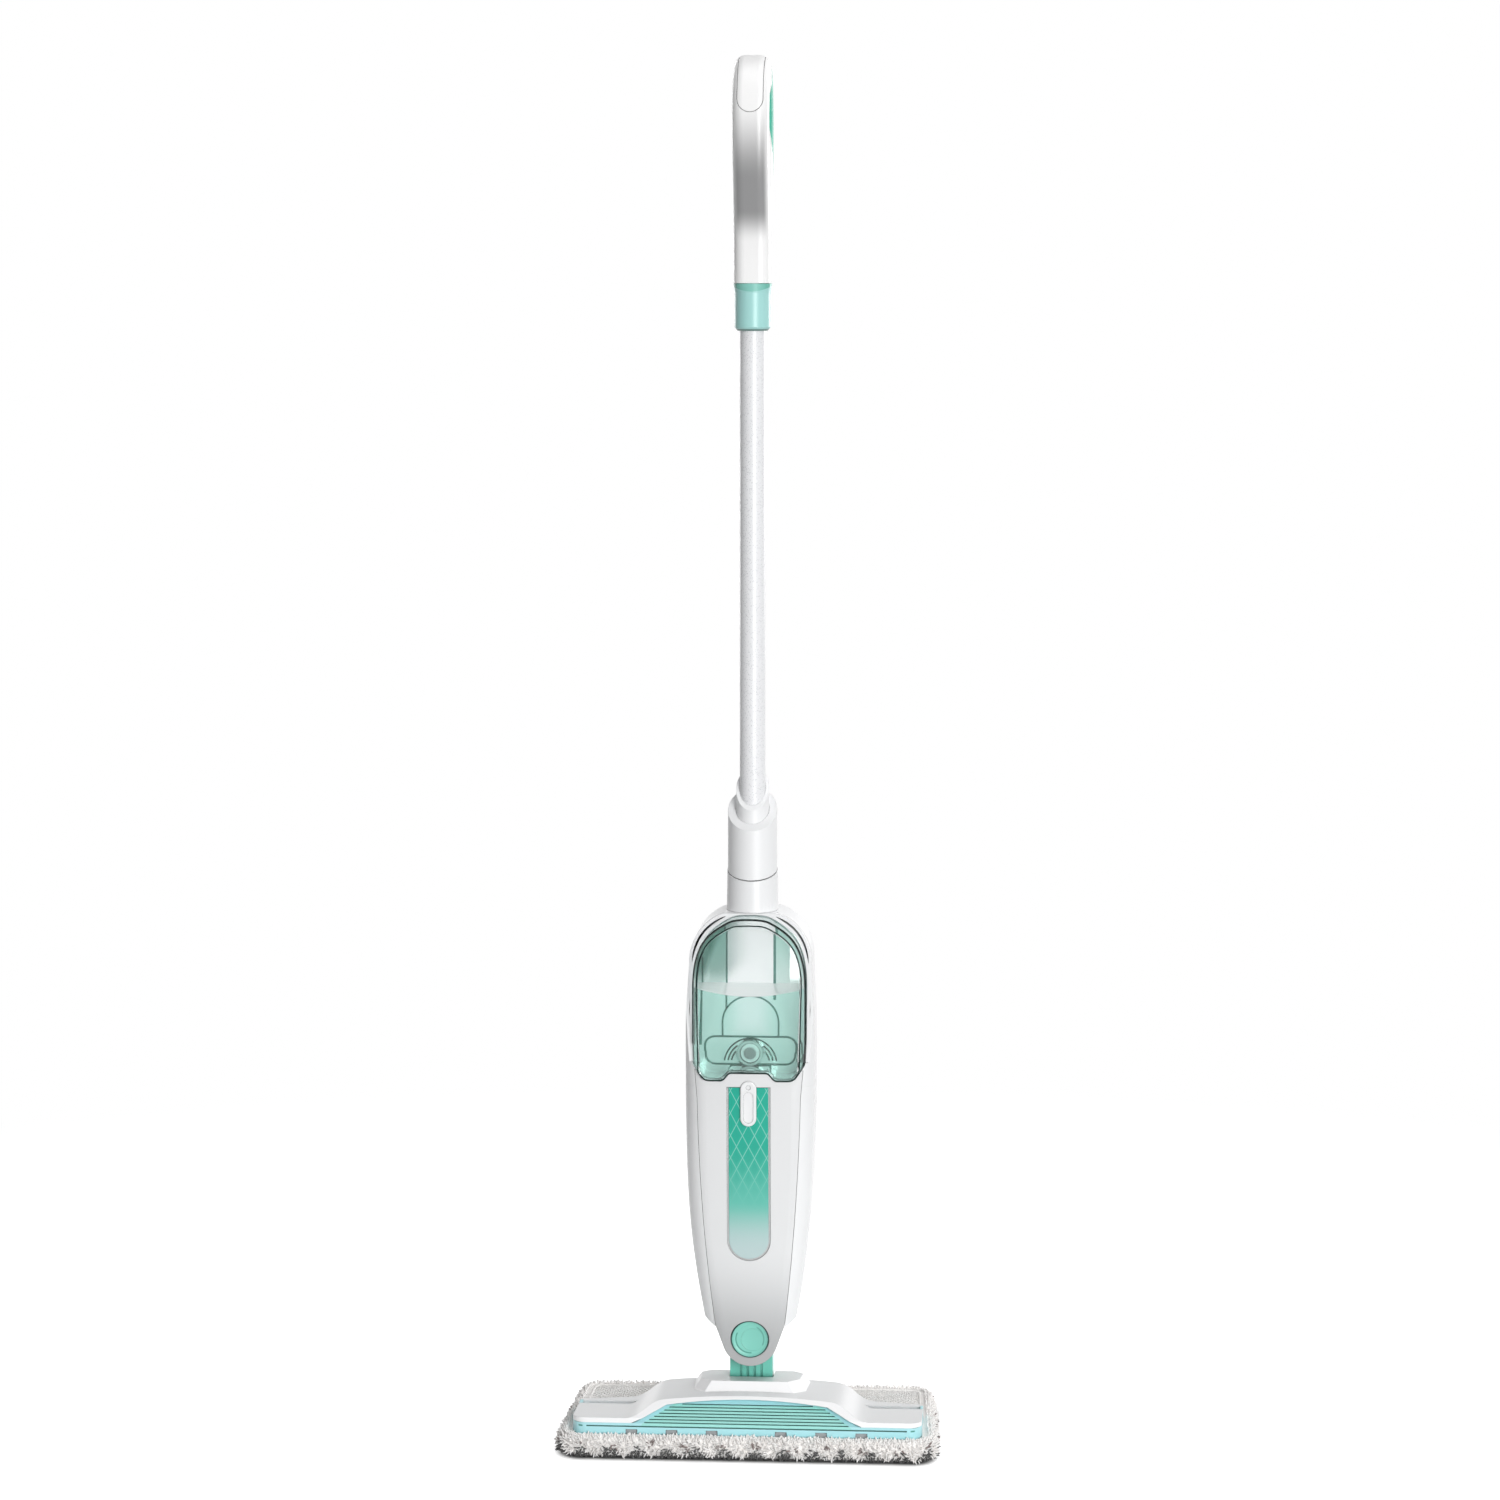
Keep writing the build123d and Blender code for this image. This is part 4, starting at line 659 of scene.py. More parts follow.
def knit_backing():
    """Tight warp knit on the pad's rim and pocket."""
    material, tree, shader = blank("knit_backing")
    shader.inputs["Sheen Weight"].default_value = 0.3
    where = place_in_piece(tree)
    x, y, _ = axes(tree, where)
    wale = calc(tree, "PINGPONG", x, WALE)
    course = calc(tree, "PINGPONG", calc(tree, "ADD", y, product(tree, wale, 0.6)), COURSE)
    loop = calc(tree, "ADD", calc(tree, "DIVIDE", wale, WALE), calc(tree, "DIVIDE", course, COURSE))
    fibre = place_group(tree, YARN, Size=1500.0)["Fibre"]
    drift = rise(tree, noise(tree, where, 40.0, 3.0), 0.35, 0.7)
    base = mix_colour(tree, drift, tone(254, 252, 250), tone(250, 247, 244))
    base = mix_colour(tree, product(tree, fibre, 0.08), base, tone(214, 206, 200))
    feed(tree, shader.inputs["Base Color"], base)
    feed(tree, shader.inputs["Roughness"], rise(tree, fibre, 0.2, 0.8, 0.85, 1.0))
    height = calc(tree, "ADD", loop, product(tree, fibre, 0.6))
    feed(tree, shader.inputs["Normal"], bump(tree, height, 0.0003, 0.6))
    return material


def rubber(name, colour, roughness):
    """Soft rubber that holds dust and smears."""
    wear = {"grain": 1100.0, "depth": 0.00005, "rub": 0.15, "dust": 0.25, "smear": 0.04}
    return moulded(name, colour, roughness, **wear)


FINISH = {
    "cover_white": cover_white(),
    "body_white": body_white(),
    "handle_white": handle_white(),
    "aqua_skirt": aqua_skirt(),
    "button_teal": button_teal(),
    "collar_teal": collar_teal(),
    "printed_film": printed_film(),
    "speckled_paint": speckled_paint(),
    "clear_teal": clear_moulding("clear_teal", (253, 255, 255), 0.02, paint=shoulder_shade),
    "clear_back": clear_moulding("clear_back", (253, 255, 255), 0.02, 0.5, back_tint),
    "rib_teal": clear_moulding("rib_teal", (36, 104, 91), 0.05),
    "tank_water": tank_water(),
    "water_top": water_top(),
    "chenille": chenille(),
    "knit_backing": knit_backing(),
}
MATTE_GRAIN = {"grain": 1100.0, "depth": 0.00005}
MOULDINGS = (
    ("white_gloss", (243, 244, 245), 0.27, {}),
    ("white_satin", (244, 245, 246), 0.36, {}),
    ("bay_white", (250, 251, 252), 0.3, {"seam_reach": 0.0004}),
    ("inlay_white", (254, 254, 254), 0.3, {}),
    ("teal_gloss", (110, 198, 180), 0.3, {}),
    # neck_teal: the long seam reach paints shade on the neck under the tongue.
    ("neck_teal", (110, 198, 180), 0.3, {"seam_reach": 0.007}),
    ("cap_pale", (214, 233, 229), 0.3, {}),
    ("bead_teal", (6, 36, 31), 0.45, {"gloss": 0.12}),
    ("grey_matte", (172, 173, 175), 0.5, MATTE_GRAIN),
    ("dark_matte", (48, 49, 51), 0.5, MATTE_GRAIN),
    ("hook_tape", (62, 62, 64), 0.6, {"grain": 2500.0, "depth": 0.00008}),
)
RUBBERS = (
    ("grip_teal", (72, 186, 160), 0.5),
    ("silicone", (214, 214, 208), 0.55),
    ("seal_rubber", (38, 38, 40), 0.6),
)
METALS = (
    ("steel", (196, 198, 202), 0.28, {}),
    ("spring_wire", (182, 184, 188), 0.3, {"lines": 2200.0}),
    ("cast_aluminium", (192, 194, 196), 0.5, {"lines": 300.0, "cast": 1.5}),
)
for name, colour, roughness, look in MOULDINGS:
    FINISH[name] = moulded(name, colour, roughness, **look)
for name, colour, roughness in RUBBERS:
    FINISH[name] = rubber(name, colour, roughness)
for name, colour, roughness, look in METALS:
    FINISH[name] = metal(name, colour, roughness, **look)

SLOT_FINISH = {
    "pad_pile": "chenille",
    "hook_tape": "hook_tape",
    "white_plastic": "white_gloss",
    "aqua_plastic": "aqua_skirt",
    "teal_plastic": "teal_gloss",
    "teal_grip": "grip_teal",
    "clear_teal": "clear_teal",
    "label_film": "printed_film",
    "grey_plastic": "grey_matte",
    "dark_plastic": "dark_matte",
    "painted_tube": "speckled_paint",
    "steel": "steel",
    "spring_steel": "spring_wire",
    "cast_aluminium": "cast_aluminium",
    "silicone": "silicone",
    "seal_rubber": "seal_rubber",
}
NODE_FINISH = {
    "pump_housing": "bay_white",
    "front_shell": "body_white",
    "handle_main": "handle_white",
    "handle_collar": "collar_teal",
    "handle_inlay": "inlay_white",
    "swivel_neck": "neck_teal",
    "release_button": "button_teal",
    "tank_cap": "cap_pale",
    "cap_valve": "cap_pale",
    "tank_back": "clear_back",
    "head_cover": "cover_white",
    "neck_bush": "white_satin",
    "neck_sleeve": "white_satin",
}


def dress_nodes():
    for part in frame["record"]["subparts"]:
        name = part["node"]
        finish = NODE_FINISH.get(name, SLOT_FINISH[part["material_slot"]])
        mesh = frame["nodes"][name].data
        mesh.materials.clear()
        mesh.materials.append(FINISH[finish])


# Mesh helpers, all in millimetres
def put_in_scene(name, data):
    thing = bpy.data.objects.new(name, data)
    bpy.context.scene.collection.objects.link(thing)
    return thing


def mesh_of(name, points, faces):
    mesh = bpy.data.meshes.new(name)
    mesh.from_pydata([Vector(point) * MM for point in points], [], faces)
    return mesh


def make_piece(name, points, faces, finishes, body, face_finish=None, smooth=True):
    mesh = mesh_of(name, points, faces)
    mesh.validate()
    for finish in finishes:
        mesh.materials.append(FINISH[finish])
    if face_finish is not None:
        mesh.polygons.foreach_set("material_index", np.asarray(face_finish, dtype=np.int32))
    if smooth:
        mesh.shade_smooth()
    piece = put_in_scene(name, mesh)
    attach(piece, body)
    return piece


def face_outward(mesh, weld=False):
    """Turns all faces outward, with doubled points made one if asked."""
    shape = bmesh.new()
    shape.from_mesh(mesh)
    if weld:
        bmesh.ops.remove_doubles(shape, verts=shape.verts, dist=1e-6)
    bmesh.ops.recalc_face_normals(shape, faces=shape.faces)
    shape.to_mesh(mesh)
    shape.free()


def even_line(points, step):
    """Points at even steps along a line, both ends included."""
    lengths = np.r_[0, np.cumsum(np.linalg.norm(np.diff(points, axis=0), axis=1))]
    at = np.linspace(0, lengths[-1], max(3, int(round(lengths[-1] / step))) + 1)
    return np.stack([np.interp(at, lengths, column) for column in points.T], axis=1)


def rounded_path(corners, radii, step, closed=True):
    """Points along a line of straight runs with round corners, evenly spaced."""
    corners = np.asarray(corners, float)
    count = len(corners)
    radii = np.broadcast_to(radii, count)
    trace = []
    for i in range(count):
        corner = corners[i]
        if not closed and i in (0, count - 1):
            trace.append(corner)
            continue
        back = corners[i - 1] - corner
        ahead = corners[(i + 1) % count] - corner
        back /= np.linalg.norm(back)
        ahead /= np.linalg.norm(ahead)
        half = math.acos(np.clip(back @ ahead, -1, 1)) / 2
        middle = (back + ahead) / np.linalg.norm(back + ahead)
        centre = corner + middle * radii[i] / math.sin(half)
        start = corner + back * radii[i] / math.tan(half) - centre
        end = corner + ahead * radii[i] / math.tan(half) - centre
        for share in np.linspace(0, 1, 13):
            ray = start * (1 - share) + end * share
            trace.append(centre + ray / np.linalg.norm(ray) * radii[i])
    if not closed:
        return even_line(np.array(trace), step)
    return even_line(np.array(trace + trace[:1]), step)[:-1]


def outward(path):
    """Outward normals of a closed path that runs anticlockwise."""
    run = np.roll(path, -1, axis=0) - np.roll(path, 1, axis=0)
    run /= np.linalg.norm(run, axis=1)[:, None]
    return np.stack([run[:, 1], -run[:, 0]], axis=1)


def ring_faces(count, rings, first=0, closed=True):
    faces = []
    for r in range(rings - 1):
        low = first + r * count
        for i in range(count if closed else count - 1):
            j = (i + 1) % count
            faces.append((low + i, low + j, low + count + j, low + count + i))
    return faces


def tube_mesh(path, radius, sides, closed=False, flatten=1.0):
    """A tube of even sides along points, carried without twist."""
    path = np.asarray(path, float)
    count = len(path)
    radii = np.broadcast_to(np.asarray(radius, float), (count,))
    if closed:
        run = np.roll(path, -1, axis=0) - np.roll(path, 1, axis=0)
    else:
        run = np.gradient(path, axis=0)
    run /= np.linalg.norm(run, axis=1)[:, None]
    up = np.array([0.0, 0.0, 1.0])
    if abs(run[0] @ up) > 0.9:
        up = np.array([1.0, 0.0, 0.0])
    side = np.cross(run[0], up)
    side /= np.linalg.norm(side)
    turn = np.linspace(0, 2 * math.pi, sides, endpoint=False)
    points = []
    for i in range(count):
        side = side - (side @ run[i]) * run[i]
        side /= np.linalg.norm(side)
        other = np.cross(run[i], side)
        for angle in turn:
            spoke = math.cos(angle) * side + flatten * math.sin(angle) * other
            points.append(path[i] + radii[i] * spoke)
    faces = ring_faces(sides, count)
    if closed:
        last = (count - 1) * sides
        start = points[0] - path[0]
        ring = np.array(points[last:last + sides]) - path[-1]
        shift = int(np.argmin(np.linalg.norm(ring - start, axis=1)))
        for k in range(sides):
            a = last + (k + shift) % sides
            b = last + (k + shift + 1) % sides
            faces.append((a, b, (k + 1) % sides, k))
    else:
        faces.append(tuple(reversed(range(sides))))
        faces.append(tuple((count - 1) * sides + k for k in range(sides)))
    return points, faces


def gather(*parts):
    """Several lists of points and faces as one."""
    points = []
    faces = []
    for some_points, some_faces in parts:
        base = len(points)
        points.extend(some_points)
        faces.extend(tuple(base + k for k in face) for face in some_faces)
    return points, faces


def lathe(profile, steps, centre, axis="z"):
    """A profile of (radius, height) turned about an upright or a front-to-back line."""
    points = []
    for angle in np.linspace(0, 2 * math.pi, steps, endpoint=False):
        for radius, height in profile:
            across = radius * math.cos(angle)
            other = radius * math.sin(angle)
            if axis == "z":
                points.append((centre[0] + across, centre[1] + other, height))
            else:
                points.append((centre[0] + across, height, centre[1] - other))
    rows = len(profile)
    faces = []
    for i in range(steps):
        j = (i + 1) % steps
        for k in range(rows - 1):
            faces.append((i * rows + k, j * rows + k, j * rows + k + 1, i * rows + k + 1))
    return points, faces


# The microfibre pad
def pad_opening(grow):
    """The edge of the pad's pocket round the rear of the head."""
    front = 12 + grow
    foot = 106 + grow * 0.5
    rear = 46 + grow
    corners = ((POCKET_HALF, front), (foot, front), (61 + grow, rear),
               (-61 - grow, rear), (-foot, front), (-POCKET_HALF, front))
    return rounded_path(corners, (0, 9, 13, 13, 9, 0), 2.5, closed=False)


def inside_path(path, points):
    """Which points lie inside a closed line."""
    points = np.asarray(points, float)
    found = np.zeros(len(points), bool)
    nexts = np.roll(path, -1, axis=0)
    for a, b in zip(path, nexts):
        cross = (a[1] > points[:, 1]) != (b[1] > points[:, 1])
        if a[1] != b[1]:
            where = a[0] + (points[:, 1] - a[1]) / (b[1] - a[1]) * (b[0] - a[0])
            found ^= cross & (points[:, 0] < where)
    return found


def rim_width(normals):
    """How far the knit rim reaches inward, from the front round to the rear."""
    front = np.clip(-normals[:, 1], 0, 1) ** 2
    rear = np.clip(normals[:, 1], 0, 1) ** 2
    side = normals[:, 0] ** 2
    return 11.0 * front + 15.0 * side + 15.0 * rear


def pad_rim(edge, normals):
    """The padded core: a plump rim round a flat floor under the head."""
    width = rim_width(normals)
    section = (
        (10.0, 0.9, 0), (7.0, 1.0, 0), (5.6, 2.2, 0), (4.8, 5.0, 0), (4.6, 9.0, 0), (5.0, 13.0, 0),
        (6.2, 16.2, 0), (8.0, 17.8, 0), (9.4, PAD_TOP, 0), (0.0, PAD_TOP, 1), (0.0, 16.5, 1.04),
        (0.0, PAD_FLOOR, 1.05),
    )
    waves = 1 + 0.08 * np.sin(np.arange(len(edge)) * 2.1) + 0.06 * chance.standard_normal(len(edge))
    points = []
    for inset, height, share in section:
        reach = inset * waves if share == 0 and height > 1.5 else inset
        reach = reach + width * share
        ring = edge - normals * np.reshape(reach, (-1, 1))
        points.extend((x, y, height) for x, y in ring)
    count = len(edge)
    faces = ring_faces(count, len(section))
    last = (len(section) - 1) * count
    faces.append(tuple(last + k for k in range(count)))
    faces.append(tuple(reversed(range(count))))
    return points, faces


def strand_batch(roots, ways, lengths, thick):
    """Short tapering yarn ends, each a bent four-sided strand."""
    count = len(roots)
    ways = ways / np.linalg.norm(ways, axis=1)[:, None]
    helper = np.where(np.abs(ways[:, 2:3]) > 0.8, [[1.0, 0.0, 0.0]], [[0.0, 0.0, 1.0]])
    side = np.cross(ways, helper)
    side /= np.linalg.norm(side, axis=1)[:, None]
    other = np.cross(ways, side)
    bend = chance.uniform(-0.35, 0.35, (count, 2))
    rings = ((0.0, 1.0), (0.38, 1.08), (0.75, 0.85), (1.0, 0.3))
    size = len(rings) * 4
    points = np.zeros((count, size, 3))
    for r, (share, fat) in enumerate(rings):
        curl = share ** 2
        middle = roots + ways * (lengths * share)[:, None]
        middle = middle + side * (bend[:, :1] * lengths[:, None] * curl)
        middle = middle + other * (bend[:, 1:] * lengths[:, None] * curl)
        for k in range(4):
            angle = math.pi / 2 * k
            reach = (thick * fat)[:, None]
            points[:, r * 4 + k] = middle + reach * (math.cos(angle) * side + math.sin(angle) * other)
    single = ring_faces(4, len(rings)) + [tuple(range(size - 4, size))]
    faces = [tuple(i * size + k for k in face) for i in range(count) for face in single]
    points[:, :, 2] = np.maximum(points[:, :, 2], 0.15)
    return points.reshape(-1, 3), faces, size


def round_edge_at(values, along, at):
    """What a value of the edge is at places along it, the last point joined to the first."""
    closed = np.vstack([values, values[:1]])
    return np.stack([np.interp(at, along, column) for column in closed.T], axis=1)


def wall_strands(edge, normals, along):
    """Yarn ends round the wall of the rim, low ones dipping and high ones standing up."""
    rows = ((8.2, 1.5, -58, 3.0), (6.4, 2.2, -36, 4.6), (5.4, 4.2, -18, 6.0), (4.9, 6.4, -4, 6.4),
            (4.8, 8.6, 8, 6.4), (4.9, 10.8, 20, 6.2), (5.2, 13.0, 34, 5.8), (6.0, 15.2, 50, 5.2),
            (7.2, 16.8, 64, 4.2), (9.0, 17.8, 76, 3.0))
    total = along[-1]
    roots, ways, lengths, thick, spots = [], [], [], [], []
    for inset, height, angle, reach in rows:
        even = np.arange(0, total, YARN_PITCH)
        count = len(even)
        at = np.mod(even + chance.uniform(-0.7, 0.7, count), total)
        base = round_edge_at(edge, along, at)
        out = round_edge_at(normals, along, at)
        out /= np.linalg.norm(out, axis=1)[:, None]
        lift = np.radians(angle + chance.uniform(-20, 20, count))
        swing = np.radians(chance.uniform(-38, 38, count))
        flat = np.stack([-out[:, 1], out[:, 0]], axis=1)
        level = out * np.cos(swing)[:, None] + flat * np.sin(swing)[:, None]
        way = np.c_[level * np.cos(lift)[:, None], np.sin(lift)]
        root = np.c_[base - out * inset, np.full(count, height) + chance.uniform(-0.8, 0.8, count)]
        long = reach * chance.uniform(0.75, 1.15, count)
        low_limit = (root[:, 2] - 0.35) / np.maximum(0.05, -way[:, 2])
        long = np.where(way[:, 2] < -0.05, np.minimum(long, low_limit), long)
        roots.append(root)
        ways.append(way)
        lengths.append(long)
        thick.append(chance.uniform(0.55, 0.85, count))
        spots.append(np.c_[at, root[:, 2]])
    return [np.concatenate(part) for part in (roots, ways, lengths, thick, spots)]


def under_strands(edge):
    """Shorter yarn ends under the pad, which stands on them."""
    xs, ys = np.meshgrid(np.arange(-160, 161, 4.0), np.arange(-84, 85, 4.0))
    base = np.stack([xs.ravel(), ys.ravel()], axis=1) + chance.uniform(-1.6, 1.6, (xs.size, 2))
    inner = edge - outward(edge) * 9.0
    base = base[inside_path(inner, base)]
    count = len(base)
    root = np.c_[base, np.full(count, 2.0)]
    lean = chance.uniform(-0.9, 0.9, (count, 2))
    way = np.c_[lean, np.full(count, -1.0)]
    long = 1.75 * np.sqrt(1 + (lean ** 2).sum(axis=1))
    return root, way, long * 0.92, chance.uniform(0.8, 1.2, count)


def dark_yarn_and_foot_shade(along, height):
    """Dark yarn in a row of triangles along the lower edge, over a dark band along the very foot that is
    partly painted shade under the pad.
    """
    step = np.abs(np.mod(along / SCRUB_PITCH, 1.0) - 0.5) * 2
    peak = 3.1 + 7.6 * np.clip(1 - step / 0.8, 0, 1)
    return (height < peak).astype(float)


def fleck_share(along, height):
    """Brown yarn in small patches half way up the wall."""
    step = (np.mod(along / FLECK_PITCH + 0.3, 1.0) - 0.5) * FLECK_PITCH
    level = 10.6 + 1.2 * np.sin(along / FLECK_PITCH * 2.4)
    near = (step / 4.2) ** 2 + ((height - level) / 2.3) ** 2
    return ((near < 1) & (chance.random(len(along)) < 0.72)).astype(float)


def pocket_net(edge, normals):
    """A perforated knit over the rear of the head, as cells with round holes."""
    pitch = 4.4
    hole = 1.3
    rows = np.arange(13, 84, pitch * 0.866)
    cells = []
    for r, y in enumerate(rows):
        shift = pitch / 2 if r % 2 else 0.0
        cells.extend((x + shift, y) for x in np.arange(-155, 156, pitch))
    cells = np.array(cells)
    inner = edge - normals * (rim_width(normals)[:, None] - 2.5)
    opening = pad_opening(1.2)
    hole_path = np.vstack([opening, [(-POCKET_HALF, -80), (POCKET_HALF, -80)]])
    keep = inside_path(inner, cells) & ~inside_path(hole_path, cells)
    cells = cells[keep]
    size = pitch / math.sqrt(3)
    points = []
    faces = []
    for x, y in cells:
        drop = 0.25 * math.sin(x * 0.11) * math.sin(y * 0.17)
        for low in (0.0, -0.8):
            base = len(points)
            height = PAD_TOP - 0.3 + drop + low
            for radius in (size * 1.01, hole):
                for k in range(6):
                    angle = math.radians(60 * k + 30)
                    points.append((x + radius * math.cos(angle), y + radius * math.sin(angle), height))
            for k in range(6):
                n = (k + 1) % 6
                quad = (base + k, base + n, base + 6 + n, base + 6 + k)
                faces.append(quad if low == 0.0 else tuple(reversed(quad)))
        first = len(points) - 24
        for k in range(6):
            n = (k + 1) % 6
            faces.append((first + 6 + k, first + 6 + n, first + 18 + n, first + 18 + k))
            faces.append((first + n, first + k, first + 12 + k, first + 12 + n))
    return points, faces


def make_pad():
    edge = rounded_path(PAD_CORNERS, PAD_ROUND, 3.2)
    normals = outward(edge)
    steps = np.linalg.norm(np.diff(np.vstack([edge, edge[:1]]), axis=0), axis=1)
    along = np.r_[0, np.cumsum(steps)]
    hem = [(x, y, PAD_TOP + 0.1) for x, y in pad_opening(2.4)]
    seam = [(x, y, PAD_TOP) for x, y in edge - normals * (rim_width(normals)[:, None] - 1.0)]
    core_points, core_faces = gather(
        pad_rim(edge, normals), pocket_net(edge, normals),
        tube_mesh(hem, 1.5, 8, flatten=0.8), tube_mesh(seam, 0.9, 6, closed=True))
    roots, ways, lengths, thick, spots = wall_strands(edge, normals, along)
    wall_points, wall_faces, size = strand_batch(roots, ways, lengths, thick)
    under_roots, ways, lengths, thick = under_strands(edge)
    under_points, under_faces, _ = strand_batch(under_roots, ways, lengths, thick)
    points, faces = gather(
        (core_points, core_faces), (wall_points, wall_faces), (under_points, under_faces))
    finish = [1] * len(core_faces) + [0] * (len(wall_faces) + len(under_faces))
    finishes = ["chenille", "knit_backing"]
    pad = make_piece("pad_cloth", points, faces, finishes, "mop_head", finish)
    core_end = len(core_points)
    wall_end = core_end + len(wall_points)
    dark_yarn_and_shade = np.zeros(len(points), np.float32)
    fleck = np.zeros(len(points), np.float32)
    shade = np.full(len(points), 0.6, np.float32)
    # The dark yarn here includes a band along the foot that is partly painted shade.
    dark_yarn_and_shade[core_end:wall_end] = np.repeat(dark_yarn_and_foot_shade(spots[:, 0], spots[:, 1]), size)
    fleck[core_end:wall_end] = np.repeat(fleck_share(spots[:, 0], spots[:, 1]), size)
    chevron = np.abs(np.mod(under_roots[:, 0] / SCRUB_PITCH, 1.0) - 0.5) * 2
    stripe = np.mod(under_roots[:, 1] / 22.0 + 0.5 * chevron, 1.0) < 0.4
    dark_yarn_and_shade[wall_end:] = np.repeat(stripe.astype(float), size)
    shade[core_end:] = np.repeat(chance.uniform(0.15, 1.0, len(roots) + len(under_roots)), size)
    for name, values in (("dark_yarn_and_shade", dark_yarn_and_shade), ("fleck", fleck), ("shade", shade)):
        layer = pad.data.attributes.new(name, "FLOAT", "POINT")
        layer.data.foreach_set("value", values)
    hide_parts("pad")


# Hook tape that holds the pad
def tape_band(low_x, high_x):
    """The flat band that one field of hooks stands on."""
    points = []
    for z in (9.85, 10.5):
        points.extend([(low_x, 20.2, z), (high_x, 20.2, z), (high_x, 45.8, z), (low_x, 45.8, z)])
    return points, [(3, 2, 1, 0), (4, 5, 6, 7)] + ring_faces(4, 2)


def make_hook_tape():
    pitch = 2.4
    parts = []
    for low_x, high_x in ((-111.8, -20.2), (20.2, 111.8)):
        parts.append(tape_band(low_x, high_x))
        for row, y in enumerate(np.arange(21.6, 45.4, pitch)):
            for x in np.arange(low_x + 1.4 + 0.6 * (row % 2), high_x - 1.2, pitch):
                path = [(x, y, 9.86), (x, y, 9.4), (x, y + 0.35, 9.16), (x, y + 0.75, 9.36)]
                parts.append(tube_mesh(path, (0.26, 0.22, 0.2, 0.14), 4))
    points, faces = gather(*parts)
    finishes = ["hook_tape"]
    tape = make_piece("hook_tape_rows", points, faces, finishes, "mop_head", smooth=False)
    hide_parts("hook_strips")


# Springs and bellows
def make_spring(name, node, centre, start, end, radius, wire, turns, axis):
    angles = np.linspace(0, 2 * math.pi * turns, turns * 28 + 1)
    share = angles / angles[-1]
    dead = 0.75 / turns
    eased = np.clip((share - dead) / (1 - 2 * dead), 0, 1)
    ends = wire * 1.02
    travel = start + ends + (end - start - 2 * ends) * (eased * 0.86 + share * 0.14)
    across = centre[0] + radius * np.cos(angles)
    other = centre[1] + radius * np.sin(angles)
    if axis == "z":
        path = np.stack([across, other, travel], axis=1)
    else:
        path = np.stack([across, travel, other], axis=1)
    points, faces = tube_mesh(path, wire, 8)
    spring = make_piece(name, points, faces, ["spring_wire"], "main_body")
    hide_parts(node)
    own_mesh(spring)


def make_springs():
    make_spring("latch_coil", "latch_spring",
                (0, -39.4), 268.3, 286.7, 2.2, 0.4, 6, "z")
    make_spring("button_coil", "button_spring",
                (0, 91.0), -24.1, -14.8, 6.5, 0.6, 4, "y")


def make_bellows():
    low, high = 406.0, 448.0
    skin = 1.2
    foot = 6.8
    folds = 6
    outer = []
    for i in range(folds * 8 + 1):
        share = i / (folds * 8)
        wave = math.cos(2 * math.pi * folds * share + math.pi)
        outer.append((9.7 + 1.6 * wave, low + (high - low) * share))
    inner = [(radius - 1.0, height) for radius, height in reversed(outer[2:-2])]
    profile = [(0.0, low), (foot, low), *outer, (0.0, high), (0.0, high - skin), *inner]
    profile += [(foot, low + skin), (0.0, low + skin)]
    points, faces = lathe(profile, 48, (0.0, 8.0))
    finishes = ["seal_rubber"]
    bellows = make_piece("pump_bellows_folds", points, faces, finishes, "main_body")
    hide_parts("pump_bellows")
    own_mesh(bellows)


# Screws
def screw_mesh(head_radius, head_height, shank_radius, length):
    """A screw that points down from the top of its domed head, with a cross recess and a thread."""
    turn = np.linspace(0, 2 * math.pi, SCREW_SIDES, endpoint=False)
    folded = np.abs((turn + math.pi / 4) % (math.pi / 2) - math.pi / 4)
    arm, width = 0.62 * head_radius, 0.17 * head_radius
    cross = np.minimum(arm / np.cos(folded), width / np.maximum(np.sin(folded), 1e-6))
    deep = 0.7 * head_height
    rows = [(0.25 * cross, -deep), (0.9 * cross, -deep), (cross, -0.02 * head_height)]
    even = np.ones(SCREW_SIDES)
    for share, drop in ((0.78, 0.04), (0.92, 0.2), (1.0, 0.5), (1.0, 1.0)):
        rows.append((even * (share * head_radius), -drop * head_height))
    for height in np.arange(head_height, length - SCREW_POINT, THREAD_PITCH / 4):
        ridge = np.abs((height / THREAD_PITCH + turn / (2 * math.pi)) % 1.0 - 0.5) * 2
        rows.append((shank_radius * (0.8 + 0.18 * ridge), -height))
    rows.append((even * (0.75 * shank_radius), -(length - SCREW_POINT)))
    rows.append((even * (0.1 * shank_radius), -length))
    points = []
    for radii, height in rows:
        points.extend((r * math.cos(a), r * math.sin(a), height) for r, a in zip(radii, turn))
    faces = ring_faces(SCREW_SIDES, len(rows))
    last = (len(rows) - 1) * SCREW_SIDES
    faces.append(tuple(reversed(range(SCREW_SIDES))))
    faces.append(tuple(last + k for k in range(SCREW_SIDES)))
    return np.array(points), faces


def make_screws(name, node, body, spots, axes_out, sizes):
    """Screws at several spots; the columns of axes_out say where their own x, y and z point."""
    points, faces = screw_mesh(*sizes)
    turned = points @ np.array(axes_out, float)
    points, faces = gather(*[(turned + np.array(spot), faces) for spot in spots])
    screws = make_piece(name, points, faces, ["steel"], body)
    face_outward(screws.data)
    screws.data.set_sharp_from_angle(angle=math.radians(40))
    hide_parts(node)


